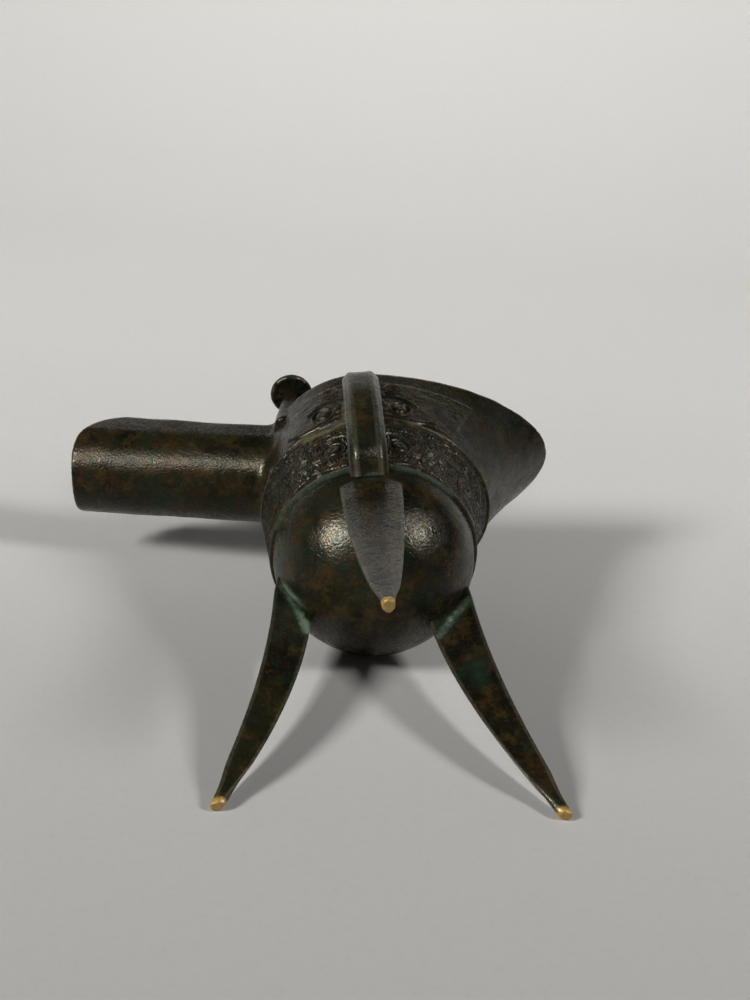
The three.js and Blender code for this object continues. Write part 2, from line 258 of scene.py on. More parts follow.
def ridge_line(first: float, last: float) -> tuple[tuple[float, float, float], ...]:
    """Points along the ridge line under the band, between two bearings in degrees."""
    turn = np.radians(np.linspace(first, last, 7))
    return tuple(map(tuple, np.stack([31.6 * np.cos(turn), 31.6 * np.sin(turn), 0.0 * turn + 92.0], axis=1).tolist()))


@dataclass(frozen=True)
class Patina:
    """Where burial, cleaning and handling changed the surface: green crusts, earth, and metal worn bright."""

    verdigris: tuple[Patch | Streak, ...] = (
        # the joint of the leg on the spout side
        Streak(((-27.6, 1.2, 79.0), (-22.9, 4.5, 70.7), (-20.1, 6.6, 63.0)), 2.5, 1.2),
        Patch((-25.0, 6.5, 58.0), (4.0, 4.0, 9.0), 0.5),
        # the joint of the leg on the tail side
        Streak(((17.2, 7.0, 60.5), (21.8, 5.7, 68.1), (27.1, 4.3, 74.5)), 2.6, 1.05),
        Patch((27.0, 8.5, 45.0), (5.0, 5.0, 17.0), 0.55),
        Patch((-1.2, -30.5, 86.4), (6.5, 3.5, 2.8), 0.62),  # under the handle's low end
        Patch((-3.0, -2.0, 66.0), (12.0, 9.0, 6.0), 0.52),  # the middle of the round bottom
        Patch((-2.5, -41.5, 113.0), (5.0, 3.0, 12.0), 0.5),  # the strap's outer face
        Streak(ridge_line(200.0, 262.0), 1.1, 1.0),
        Streak(ridge_line(271.0, 318.0), 1.1, 0.95),
        Patch((-93.0, -6.0, 155.0), (6.0, 12.0, 8.0), 0.42),
    )
    earth: tuple[Patch | Streak, ...] = (
        # beside the handle, on the spout side
        Streak(((-20.0, -26.6, 118.6), (-12.6, -30.5, 117.6), (-7.4, -32.4, 120.0), (-7.2, -33.6, 133.0)), 1.9, 1.0),
        Patch((-17.0, -28.0, 121.0), (9.0, 6.0, 6.0), 0.45),
        Patch((-24.0, -24.0, 136.0), (8.0, 8.0, 14.0), 0.4),
        Patch((-93.0, -1.0, 139.5), (5.0, 4.5, 4.0), 0.55),  # the lip
        Patch((-27.8, 0.7, 80.6), (1.8, 1.8, 1.8), 1.0),
        Patch((-24.2, 5.0, 62.0), (1.4, 1.8, 1.8), 0.8),
        Patch((-29.0, -16.0, 104.0), (2.0, 4.0, 6.0), 0.4),
        Patch((-29.6, -18.5, 175.0), (10.0, 10.0, 8.0), 0.62),  # the caps
        Patch((-29.6, 18.5, 175.0), (10.0, 10.0, 8.0), 0.5),
    )
    bared: tuple[Patch, ...] = tuple(
        Patch((r * np.cos(np.radians(b)), r * np.sin(np.radians(b)), 0.0), (4.0, 4.0, 2.6), 1.3)
        for b, r in ((266.7, 43.5), (160.6, 47.0), (26.8, 49.5))  # the three feet: bearing and distance out
    )

    def marks(self, p: Array, raised: Array, sunk: Array) -> dict[str, Array]:
        """The numbers that the bronze's material reads at each point.

        Args:
            p: Points of shape (n, 3), in the casting's millimetres.
            raised: 0 to 1, how much each stands out as an edge or a crest.
            sunk: 0 to 1, how much each lies in a groove or a corner.

        Returns:
            Named arrays of n numbers.
        """
        places = {Mark.VERDIGRIS: self.verdigris, Mark.EARTH: self.earth, Mark.BARED: self.bared}
        amounts = {mark: sum(patch.amount(p) for patch in patches) for mark, patches in places.items()}
        return {mark.value: values for mark, values in {Mark.RAISED: raised, Mark.SUNK: sunk, **amounts}.items()}


@dataclass(frozen=True)
class Cup:
    """The cup: a round bottom below the ridge line, a belly above it, and a neck that flares to a boat-shaped rim."""

    wall: float = 2.6
    radius: float = 31.0
    ridge_z: float = 93.0
    bottom_depth: float = 30.0
    rim_z: float = 152.5
    rim_half_width: float = 35.5
    front_reach: float = 33.5
    tail_reach: float = 66.5
    tail_tip_z: float = 160.0
    tail_power: float = 1.8
    tail_fullness: float = 1.8
    neck_power: float = 2.6
    bulges: tuple[float, float, float] = (1.6, 2.6, 0.8)

    def share(self, z: Array) -> Array:
        """Share of the way from the ridge line up to the rim, 0 below it."""
        return np.maximum(0.0, (z - self.ridge_z) / (self.rim_z - self.ridge_z))

    def reach(self, z: Array, rim: float, power: float, bulge: float) -> Array:
        """Half-breadth at a height: the belly's radius plus half a sine wave of bulge and a power curve to the rim."""
        share = self.share(z)
        return self.radius + bulge * np.sin(np.pi * np.minimum(1.0, share)) + (rim - self.radius) * share**power

    def half_axes(self, z: Array, x: Array) -> tuple[Array, Array, Array]:
        """The two half-breadths and the outline's exponent at a height, on the side of the axis where x lies.

        Args:
            z: Heights.
            x: Numbers with the sign of each point's x.

        Returns:
            The half-breadths along X and along Y, and the exponent.
        """
        side = self.reach(z, self.rim_half_width, self.neck_power, self.bulges[0])
        front = self.reach(z, self.front_reach, self.neck_power, self.bulges[1])
        tip_share = float(self.share(np.array(self.tail_tip_z)))
        tail_rim = self.radius + (self.tail_reach - self.radius) / tip_share**self.tail_power
        tail = self.reach(z, tail_rim, self.tail_power, self.bulges[2])
        exponent = mix(2.0, self.tail_fullness, np.minimum(1.0, self.share(z)))
        return np.where(x < 0, front, tail), side, np.where(x < 0, 2.0, exponent)

    def field(self, p: Array) -> Array:
        """Signed distance from the outside, near it: (k - 1) / |grad k|, where k is the superellipse's scale.

        Args:
            p: Array of shape (n, 3).

        Returns:
            An array of n distances, below 0 inside.
        """
        x, y, z = p.T

        def scale(dx: float, dy: float, dz: float) -> Array:
            """How many times as large an outside of the same form would pass through the points.

            Args:
                dx: How far the points are moved along X first.
                dy: The same along Y.
                dz: The same along Z.

            Returns:
                An array of n numbers, 1 on the outside: the superellipse's scale, and below the ridge line the root of
                its square and that of the drop in bottom depths, added.
            """
            a, b, n = self.half_axes(z + dz, x)
            u, v = np.abs((x + dx) / a), np.abs((y + dy) / b)
            upper = (u**n + v**n) ** (1.0 / n)
            drop = np.maximum(0.0, (self.ridge_z - z - dz) / self.bottom_depth)
            return np.sqrt(upper**2 + drop**2)

        k, step = scale(0, 0, 0), 1e-3
        slope = [(scale(*(step * axis)) - k) / step for axis in np.eye(3)]
        return (k - 1.0) / np.maximum(0.4 / self.rim_half_width, np.sqrt(sum(s * s for s in slope)))

    def point(self, angle: Array, z: Array) -> Array:
        """Points of the outside at angles round the axis and at heights: a circle scaled by the half-axes.

        Args:
            angle: Angles from the tail, in radians.
            z: Heights.

        Returns:
            Array of shape (..., 3).
        """
        c, s = np.cos(angle), np.sin(angle)
        a, b, n = self.half_axes(z, c)
        x, y = (half * np.sign(v) * np.abs(v) ** (2.0 / n) for half, v in ((a, c), (b, s)))
        return np.stack([x, y, z + 0.0 * a], axis=-1)

    def hold_in_wall(self, p: Array, depth: float = 1.3) -> Array:
        """Moves points that lie deeper under the outside than the given depth up to it, along the field's slope.

        Args:
            p: Points of shape (n, 3), in the casting's millimetres.
            depth: How deep they may lie.

        Returns:
            The moved points.
        """
        for _ in range(3):
            here = self.field(p)
            slope = np.stack([(self.field(p + 0.05 * e) - here) / 0.05 for e in np.eye(3)], axis=1)
            p = p + np.maximum(0.0, -depth - here)[:, None] * slope / np.maximum(0.2, np.sum(slope**2, axis=1))[:, None]
        return p


@dataclass(frozen=True)
class Spout:
    """The pouring spout: a U-shaped gutter that rises a little to a lip cut back in a curve."""

    reach: float = 99.0
    root_half_width: float = 16.0
    lip_half_width: float = 15.4
    root_x: float = 28.0
    root_floor_z: float = 130.0
    lip_floor_z: float = 140.5
    lip_rim_z: float = 164.0
    lip_rounding: float = 18.0
    lip_fullness: float = 2.0

    def field(self, p: Array, inset: float = 0.0) -> Array:
        """Signed distance from the gutter's outside: a half circle with straight sides, between two end planes.

        Args:
            p: Array of shape (n, 3).
            inset: How far inside that surface the wanted one lies. An inset surface runs on past the lip.

        Returns:
            An array of n distances.
        """
        d = -p[:, 0]
        half = mix(self.root_half_width, self.lip_half_width, d / self.reach) - inset
        floor = mix(self.root_floor_z, self.lip_floor_z, (d - self.root_x) / (self.reach - self.root_x)) + inset
        below = np.minimum(0.0, p[:, 2] - floor - half)
        end = self.reach + (8.0 if inset else 0.0)
        return np.maximum(np.hypot(p[:, 1], below) - half, np.maximum(d - end, 14.0 - d))


@dataclass(frozen=True)
class Rim:
    """The edge of the mouth, seen from the side: lowest beside the handle, and up to the tail's tip and the lip."""

    cup: Cup = Cup()
    spout: Spout = Spout()
    sag_power: float = 1.8

    def field(self, p: Array) -> Array:
        """How far a point is above the rim, or in front of the lip's curve, which is a superellipse.

        Args:
            p: Points of shape (n, 3), in the casting's millimetres.

        Returns:
            An array of n distances.
        """
        x, z = p[:, 0], p[:, 2]
        lip_x = self.spout.reach - self.spout.lip_rounding
        reach = np.where(x > 0, self.cup.tail_reach, lip_x)
        rise = np.where(x > 0, self.cup.tail_tip_z, self.spout.lip_rim_z) - self.cup.rim_z
        height = self.cup.rim_z + rise * (np.abs(x) / reach) ** self.sag_power
        slope = self.sag_power * rise / reach * (np.abs(x) / reach) ** (self.sag_power - 1)
        above = (z - height) / np.hypot(1.0, slope)
        n, tall = self.spout.lip_fullness, self.spout.lip_rim_z - self.spout.lip_floor_z
        u = np.maximum(0.0, -x - lip_x) / self.spout.lip_rounding
        v = np.maximum(0.0, z - self.spout.lip_floor_z) / tall
        q = np.maximum(1e-6, (u**n + v**n) ** (1.0 / n))
        steep = np.hypot(u ** (n - 1) / self.spout.lip_rounding, v ** (n - 1) / tall) * q ** (1.0 - n)
        return np.where(x > -lip_x, above, (q - 1.0) / np.maximum(1e-3, steep))


@dataclass(frozen=True)
class Leg:
    """A blade leg of three sides: a broad outer face that narrows and turns out to the foot, and a ridge inside."""

    bearing: float
    sunk: float
    reach: float
    depth: float
    top_z: float = 90.0
    splay_power: float = 2.1
    root_width: float = 18.5
    foot_width: float = 4.0
    taper_power: float = 1.55
    foot_depth: float = 4.4
    depth_power: float = 3.0
    edge: float = 1.1
    foot_edge: float = 2.1
    melt: float = 1.3  # how far the top of the face sinks into the wall, so that the leg grows out of it
    root_crown: float = 2.0  # the face's crown there, as round as the belly
    crown: float = 0.7  # how far the broad face stands up along its middle, where it is broadest
    hollow: float = 0.35  # how far the two inner sides are hollowed
    belly_radius: float = 31.0

    def rings(self, count: int = 170) -> Array:
        """The leg's sections from the foot up: a triangle with rounded corners whose size follows power curves.

        Towards the foot, which is worn round, the section is drawn to a circle of the foot's width.

        Args:
            count: Number of sections.

        Returns:
            Array of shape (rings, points, 3).
        """
        z = np.concatenate([[0.0, 0.0, 0.12, 0.35, 0.7, 1.2], np.linspace(1.8, self.top_z + 1.0, count)])
        shrink = np.concatenate([[0.35, 0.62, 0.77, 0.88, 0.95, 0.99], np.ones(count)])[:, None]
        down = np.clip(1.0 - z / self.top_z, 0.0, 1.0)[:, None]
        face = mix(self.belly_radius - self.sunk, self.reach, down**self.splay_power)
        sink = smooth_step(self.top_z - 15.0, self.top_z - 2.0, z)[:, None]
        cut = mix(self.foot_edge, self.edge, smooth_step(0.0, 16.0, z))[:, None]
        face = face - self.melt * sink
        half = mix(self.root_width, self.foot_width, down**self.taper_power) / 2
        half = half + 0.42 * cut  # the rounded corners take this back
        deep = mix(self.depth, self.foot_depth, down**self.depth_power)
        flat = 0 * half
        corners = [np.stack(corner, -1) for corner in ((flat, half), (-deep, flat), (flat, -half))]
        corners = np.stack(corners, axis=1)[:, :, 0]
        section = round_corners(corners, cut[..., None], 6, 9)
        out, side = section[..., 0], section[..., 1]
        foot = self.foot_width / 2
        ball = np.maximum(1e-6, np.hypot(out + foot, side))
        worn = 0.9 * (1.0 - smooth_step(0.0, 13.0, z))[:, None]
        out = mix(out, (out + foot) / ball * foot - foot, worn)
        side = mix(side, side / ball * foot, worn)
        crown = mix(self.crown, self.root_crown, sink) * half / 9.0 * np.maximum(0.0, 1.0 - (side / half) ** 2)
        crown = crown * smooth_step(-0.6, -0.1, out)
        inwards = -out / deep
        hollow = self.hollow * smooth_step(-0.2, -1.5, out)
        hollow = hollow * smooth_step(0.0, 0.3, inwards) * (1.0 - smooth_step(0.7, 1.0, inwards))
        out = (out + crown + deep * 0.45) * shrink - deep * 0.45
        side = (side - np.sign(side) * hollow) * shrink
        a = np.radians(self.bearing)
        x = (face + out) * np.cos(a) - side * np.sin(a)
        y = (face + out) * np.sin(a) + side * np.cos(a)
        return np.stack([x, y, np.broadcast_to(z[:, None], x.shape)], axis=-1)

    def build(self, name: str, cup: Cup) -> bpy.types.Object:
        """Makes the leg, with its root held inside the cup's wall.

        Args:
            name: The piece's name.
            cup: The cup that it grows out of.

        Returns:
            The new object.
        """
        rings = self.rings()
        rings = cup.hold_in_wall(rings.reshape(-1, 3)).reshape(rings.shape)
        corner = np.tile(np.repeat([1.0, 0.0], [6, 9]), 3)
        return tube(name, rings, corner)


@dataclass(frozen=True)
class Handle:
    """The strap handle: a flat bar with sloping edges, bent out from the belly over a leg and back to the neck."""

    bearing: float = HANDLE_BEARING
    low_z: float = 87.0
    high_z: float = 141.0
    gap: float = 9.4
    width: float = 12.0
    face_width: float = 7.6
    thickness: float = 4.0
    edge: float = 0.9
    dish: float = 0.22
    cup: Cup = Cup()

    def path(self, count: int = 60) -> Array:
        """The strap's middle line, as distance out and height: a Catmull-Rom curve through six points.

        Args:
            count: Number of points on the curve.

        Returns:
            Array of shape (count, 2).
        """
        low = self.cup.radius - self.cup.wall / 2
        top = np.array(self.high_z)
        neck = float(self.cup.reach(top, self.cup.rim_half_width, self.cup.neck_power, self.cup.bulges[0]))
        high = neck - self.cup.wall / 2
        mid, rise = self.cup.radius + self.gap + self.thickness / 2, self.high_z - self.low_z
        knots = np.array(
            [
                [low, self.low_z + self.thickness / 2],
                [mix(low, mid, 0.55), self.low_z + rise * 0.12],
                [mix(low, mid, 0.88), self.low_z + rise * 0.4],
                [mid, self.low_z + rise * 0.7],
                [mix(high, mid, 0.8), self.low_z + rise * 0.92],
                [high, self.high_z],
            ]
        )
        knots = np.vstack([2 * knots[0] - knots[1], knots, 2 * knots[-1] - knots[-2]])
        gaps = np.sqrt(np.linalg.norm(np.diff(knots, axis=0), axis=1))
        marks = np.concatenate([[0.0], np.cumsum(gaps)])
        t = np.linspace(marks[1], marks[-2], count)
        i = np.clip(np.searchsorted(marks, t, side="right") - 1, 1, len(knots) - 3)

        def between(a: Array, b: Array, ta: Array, tb: Array) -> Array:
            """The straight line through a at time ta and b at time tb, at the times t."""
            return ((tb - t) / (tb - ta))[:, None] * a + ((t - ta) / (tb - ta))[:, None] * b

        m = [marks[i + k] for k in (-1, 0, 1, 2)]
        k = [knots[i + j] for j in (-1, 0, 1, 2)]
        a1, a2, a3 = between(k[0], k[1], m[0], m[1]), between(k[1], k[2], m[1], m[2]), between(k[2], k[3], m[2], m[3])
        b1, b2 = between(a1, a2, m[0], m[2]), between(a2, a3, m[1], m[3])
        return between(b1, b2, m[1], m[2])

    def build(self) -> bpy.types.Object:
        """Carries the bar's section along its path: flat inside, sloping edges, and a slightly dished outer face.

        Returns:
            The new object.
        """
        line = self.path(150)
        along = np.gradient(line, axis=0)
        along /= np.linalg.norm(along, axis=1, keepdims=True)
        w, f, t = self.width / 2, self.face_width / 2, self.thickness / 2
        outline = np.array([[w, -t / 4], [0.92 * w, -t], [-0.92 * w, -t], [-w, -t / 4], [-f, t], [f, t]])
        section = round_corners(np.broadcast_to(outline, (len(line), 6, 2)), self.edge, 5, 5)
        across, lift = section[..., 0], section[..., 1]
        lift = lift - self.dish * np.maximum(0.0, 1.0 - (across / f) ** 2) * (lift > 0.9 * t)
        out = line[:, :1] + along[:, 1:] * lift
        z = line[:, 1:] - along[:, :1] * lift
        a = np.radians(self.bearing)
        x = out * np.cos(a) - across * np.sin(a)
        y = out * np.sin(a) + across * np.cos(a)
        rings = np.stack([x, y, z], axis=-1)
        corner = np.tile(np.repeat([1.0, 0.0], [5, 5]), 6)
        return tube("handle_strap", self.cup.hold_in_wall(rings.reshape(-1, 3)).reshape(rings.shape), corner)


@dataclass(frozen=True)
class Post:
    """One of the two posts at the root of the spout: a round rod that leans in a little, with a cap on it."""

    hand: float
    overlap: float = 1.0
    lean: tuple[float, float] = (2.5, 0.2)
    foot_radius: float = 3.4
    top_radius: float = 2.4
    cap_radius: float = 7.4
    cap_z: float = 173.0
    cap_height: float = 8.5
    button_radius: float = 1.7
    cup: Cup = Cup()
    spout: Spout = Spout()

    def ends(self) -> tuple[Array, Array]:
        """The middle of the post's foot, inside the wall, and of its top, inside the cap.

        Returns:
            The two points.
        """
        aside = self.spout.root_half_width + self.foot_radius - self.overlap
        angle = np.pi - self.hand * np.arcsin(aside / (self.cup.rim_half_width - self.cup.wall / 2))
        foot = self.cup.point(np.array(angle), np.array(self.cup.rim_z))
        foot[:2] *= 1.0 - self.cup.wall / 2 / np.hypot(*foot[:2])
        top = foot + [self.lean[0], -self.hand * self.lean[1], 0.0]
        foot[2], top[2] = self.cup.rim_z - 2 * self.cup.wall, self.cap_z + self.cap_height / 4
        return foot, top

    def field(self, p: Array) -> Array:
        """Signed distance from the rod: a cone between its two ends.

        Args:
            p: Points of shape (n, 3), in the casting's millimetres.

        Returns:
            An array of n distances.
        """
        foot, top = self.ends()
        axis = top - foot
        up = (p - foot) @ axis / (axis @ axis)
        radius = mix(self.foot_radius, self.top_radius, np.clip(up, 0.0, 1.0))
        off = np.linalg.norm(p - foot - up[:, None] * axis, axis=1)
        return blend_keep(off - radius, np.maximum(-up, up - 1.0) * np.linalg.norm(axis), 1.0)


LEGS = (
    Leg(bearing=266.7, sunk=1.4, reach=45.2, depth=10.0),
    Leg(bearing=160.6, sunk=2.2, reach=49.0, depth=9.4),
    Leg(bearing=26.8, sunk=3.8, reach=51.6, depth=12.2),
)


@dataclass
class Casting:
    """The vessel's body: cup, spout and posts, run together as poured metal does.

    Its surface is where one distance field is 0, because no single grid of two parameters follows walls that
    branch and merge. It is meshed with surface nets: one point in each small cube that the surface passes through.
    """

    cup: Cup = Cup()
    spout: Spout = Spout()
    rim: Rim = Rim()
    posts: tuple[Post, Post] = (Post(-1.0), Post(1.0))
    cell: float = 0.7
    most_triangles: int = 190_000
    low: Array = field(default_factory=lambda: np.array([-101.0, -38.0, 61.0]))
    high: Array = field(default_factory=lambda: np.array([69.0, 38.0, 178.0]))

    def near(self, field_of: Callable[[Array], Array], p: Array, box: tuple[Array, Array]) -> Array:
        """A part's field where its box is near, and a large number elsewhere.

        Args:
            field_of: The part's own distance field.
            p: Array of shape (n, 3).
            box: The lowest and highest corners where the part matters.

        Returns:
            An array of n distances.
        """
        inside = np.all((p > box[0]) & (p < box[1]), axis=1)
        values = np.full(len(p), 30.0)
        values[inside] = field_of(p[inside])
        return values

    def field(self, p: Array) -> Array:
        """The casting's distance field: outsides joined with fillets, the cavity and all above the rim taken away.

        Args:
            p: Array of shape (n, 3).

        Returns:
            An array of n distances, below 0 in the metal.
        """
        cup = self.cup.field(p)
        spout_box = (np.array([-110.0, -26.0, 118.0]), np.array([0.0, 26.0, 190.0]))
        shape = blend_join(cup, self.near(self.spout.field, p, spout_box), 3.5)
        trough = self.near(lambda q: self.spout.field(q, self.cup.wall), p, spout_box)
        cavity = blend_join(cup + self.cup.wall, trough, 4.0)
        shape = blend_keep(shape, -cavity, 0.9)
        shape = blend_keep(shape, self.rim.field(p), 1.5)
        for post in self.posts:
            box = (np.array([-40.0, -30.0, 138.0]), np.array([-10.0, 30.0, 186.0]))
            shape = blend_join(shape, self.near(post.field, p, box), 1.8)
        return shape

    def unevenness(self, p: Array) -> Array:
        """How far the hand-made surface stands out or in: slow waves, and softer dents over them."""
        return 0.16 * value_noise(p, 13.0, 3) + 0.07 * value_noise(p, 4.5, 5)

    def surface(self) -> tuple[Array, Array]:
        """Surface nets: each small cube that the surface crosses gets one point, and each crossed edge one quad.

        Returns:
            The points, of shape (n, 3), and the quads, of shape (m, 4), anticlockwise from outside.
        """
        block = 4
        blocks = np.ceil((self.high - self.low) / (self.cell * block)).astype(int)
        coarse = self.grid_values([np.arange(n + 1) * block for n in blocks])
        corners = [coarse[tuple(slice(c, n + c) for c, n in zip(corner, blocks))] for corner in np.ndindex(2, 2, 2)]
        reach = self.cell * block * 1.1
        busy = (np.min(corners, axis=0) < reach) & (np.max(corners, axis=0) > -reach)
        cells = busy.repeat(block, 0).repeat(block, 1).repeat(block, 2)
        wanted = np.zeros(np.array(cells.shape) + 1, bool)
        for corner in np.ndindex(2, 2, 2):
            wanted[tuple(slice(c, n + c) for c, n in zip(corner, cells.shape))] |= cells
        fine = np.pad(corners[0].repeat(block, 0).repeat(block, 1).repeat(block, 2), ((0, 1),) * 3, mode="edge")
        fine[wanted] = self.values(self.low + np.argwhere(wanted) * self.cell)
        return self.nets(self.untangled(fine))

    def untangled(self, grid: Array) -> Array:
        """Turns over the weakest corner of each grid face whose signs alternate, so that no edge gets four quads.

        Args:
            grid: The field on the cell corners.

        Returns:
            The same values, with a few signs changed.
        """
        for _ in range(6):
            changed = 0
            for u, v in ((0, 1), (1, 2), (2, 0)):
                ends = [[slice(None)] * 3 for _ in range(4)]
                for end, (cu, cv) in zip(ends, ((0, 0), (1, 0), (1, 1), (0, 1))):
                    end[u] = slice(cu, grid.shape[u] - 1 + cu)
                    end[v] = slice(cv, grid.shape[v] - 1 + cv)
                signs = [grid[tuple(end)] < 0 for end in ends]
                odd = (signs[0] == signs[2]) & (signs[1] == signs[3]) & (signs[0] != signs[1])
                if not odd.any():
                    continue
                at = np.argwhere(odd)
                steps = np.zeros((4, 3), int)
                steps[1:3, u] = 1
                steps[2:4, v] = 1
                places = at[:, None, :] + steps[None]
                values = grid[places[..., 0], places[..., 1], places[..., 2]]
                weak = places[np.arange(len(at)), np.argmin(np.abs(values), axis=1)]
                grid[tuple(weak.T)] *= -1.0
                changed += len(at)
            if not changed:
                break
        return grid

    def grid_values(self, indices: Sequence[Array]) -> Array:
        """The field on a grid of whole cell numbers along each axis."""
        grid = np.stack(np.meshgrid(*indices, indexing="ij"), -1)
        return self.values(self.low + grid.reshape(-1, 3) * self.cell).reshape(grid.shape[:3])

    def values(self, p: Array, batch: int = 400_000) -> Array:
        """The uneven field at many points, in batches that fit in memory."""
        return np.concatenate([self.field(q) - self.unevenness(q) for q in np.array_split(p, max(1, len(p) // batch))])

    def nets(self, grid: Array) -> tuple[Array, Array]:
        """Points and quads of the 0 surface of values on a grid.

        Args:
            grid: The field on the cell corners.

        Returns:
            The points and the quads.
        """
        cells = np.array(grid.shape) - 1
        pull, owners, quads = [], [], []
        for axis in range(3):
            a = np.moveaxis(grid, axis, 0)
            cross = (a[:-1] < 0) != (a[1:] < 0)
            where = np.argwhere(cross)
            v0, v1 = a[:-1][cross], a[1:][cross]
            at = where.astype(float)
            at[:, 0] += v0 / (v0 - v1)
            back = [axis] + [k for k in range(3) if k != axis]
            order = np.argsort(back)
            at, where = at[:, order], where[:, order]
            u, v = (axis + 1) % 3, (axis + 2) % 3
            ring = []
            for du, dv in ((0, 0), (-1, 0), (-1, -1), (0, -1)):
                cell = where.copy()
                cell[:, u] += du
                cell[:, v] += dv
                ring.append(np.ravel_multi_index(cell.T, cells, mode="clip"))
                owners.append(ring[-1])
                pull.append(at)
            ring = np.stack(ring, axis=1)
            quads.append(np.where((v0 < 0)[:, None], ring, ring[:, ::-1]))
        owners, pull, quads = np.concatenate(owners), np.concatenate(pull), np.concatenate(quads)
        ids, inverse = np.unique(owners, return_inverse=True)
        count = np.bincount(inverse)
        middle = np.stack([np.bincount(inverse, pull[:, k]) / count for k in range(3)], axis=1)
        return self.low + middle * self.cell, np.searchsorted(ids, quads)

    def gradient(self, p: Array, step: float = 0.06) -> Array:
        """The field's slope at each point, by central differences."""
        sides = [(self.values(p + step * e) - self.values(p - step * e)) / (2 * step) for e in np.eye(3)]
        return np.stack(sides, axis=1)

    def settle(self, p: Array, rounds: int = 2) -> Array:
        """Moves each point on to the surface with Newton's steps: back along the slope by the field over it.

        Args:
            p: Points of shape (n, 3), in the casting's millimetres.
            rounds: Number of steps.

        Returns:
            The moved points.
        """
        for _ in range(rounds):
            slope = self.gradient(p)
            size = np.maximum(0.3, np.sum(slope**2, axis=1))
            p = p - (np.clip(self.values(p), -0.5, 0.5) / size)[:, None] * slope
        return p

    def build(self) -> bpy.types.Object:
        """Meshes the casting, thins its flatter stretches and gives it the marks that the finish reads.

        Returns:
            The new object.
        """
        points, quads = self.surface()
        points = self.settle(points)
        piece = make_mesh("cup_and_spout", points, quads)
        thin = piece.modifiers.new("thin", "DECIMATE")
        thin.ratio = min(1.0, self.most_triangles / (2 * len(quads)))
        graph = bpy.context.evaluated_depsgraph_get()
        mesh = bpy.data.meshes.new_from_object(piece.evaluated_get(graph))
        piece.modifiers.clear()
        piece.data = mesh
        p = np.empty(3 * len(mesh.vertices), np.float32)
        mesh.vertices.foreach_get("co", p)
        p = p.reshape(-1, 3) * 1000.0 - AXIS_MM
        bend = np.mean([self.field(p + sign * 1.3 * axis) for axis in np.eye(3) for sign in (-1, 1)], axis=0)
        for key, values in Patina().marks(p, smooth_step(0.1, 0.45, bend), smooth_step(0.1, 0.4, -bend)).items():
            mesh.attributes.new(key, "FLOAT", "POINT").data.foreach_set("value", np.asarray(values, np.float32))
        left = sum(len(f.vertices) - 2 for f in mesh.polygons)
        log.info("cup_and_spout: %d quads, thinned to %d triangles", len(quads), left)
        return piece


@dataclass(frozen=True)
class Stroke:
    """A raised line of the relief: where it runs, as distance from the mask's middle and height, and its size."""

    line: tuple[tuple[float, float], ...]
    half_width: float = 0.9
    height: float = 0.55
    groove: float = 0.3

    def distance(self, s: Array, z: Array) -> Array:
        """Shortest distance from each point to the line's straight parts.

        Args:
            s: Distances from the mask's middle.
            z: Heights.

        Returns:
            An array of the same shape.
        """
        best = np.full(s.shape, 99.0)
        for (s0, z0), (s1, z1) in zip(self.line, self.line[1:]):
            ds, dz = s1 - s0, z1 - z0
            t = np.clip(((s - s0) * ds + (z - z0) * dz) / max(1e-9, ds * ds + dz * dz), 0.0, 1.0)
            best = np.minimum(best, np.hypot(s - s0 - t * ds, z - z0 - t * dz))
        return best


def coil(
    s: float, z: float, size: float, trail: float, turns: float = 1.25, end: float = 1.76
) -> tuple[tuple[float, float], ...]:
    """A scroll's line: a straight trail that runs into a spiral whose radius shrinks evenly with its turn.

    Args:
        s: The spiral's middle, as distance from the mask's middle.
        z: Its height.
        size: Its outer radius.
        trail: How far the trail runs from it.
        turns: How often it turns.
        end: Its inner radius.

    Returns:
        The line's corners.
    """
    share = np.linspace(0.0, 1.0, 34)
    turn, radius = share * turns * 2 * np.pi, mix(size, end, share)
    line = np.stack([s - radius * np.sin(turn), z - radius * np.cos(turn)], axis=1)
    return ((s + trail, z - size), (s + trail / 2, z - size * 1.08), *map(tuple, line))


def hook(points: Sequence[tuple[float, float]]) -> tuple[tuple[float, float], ...]:
    """A smooth line through a few points: each corner is cut twice, a quarter of the way along its sides.

    Args:
        points: Distances from the mask's middle and heights.

    Returns:
        The line's corners.
    """
    line = np.array(points, float)
    for _ in range(2):
        low, high = mix(line[:-1], line[1:], 0.25), mix(line[:-1], line[1:], 0.75)
        line = np.vstack([line[:1], np.stack([low, high], axis=1).reshape(-1, 2), line[-1:]])
    return tuple(map(tuple, line))


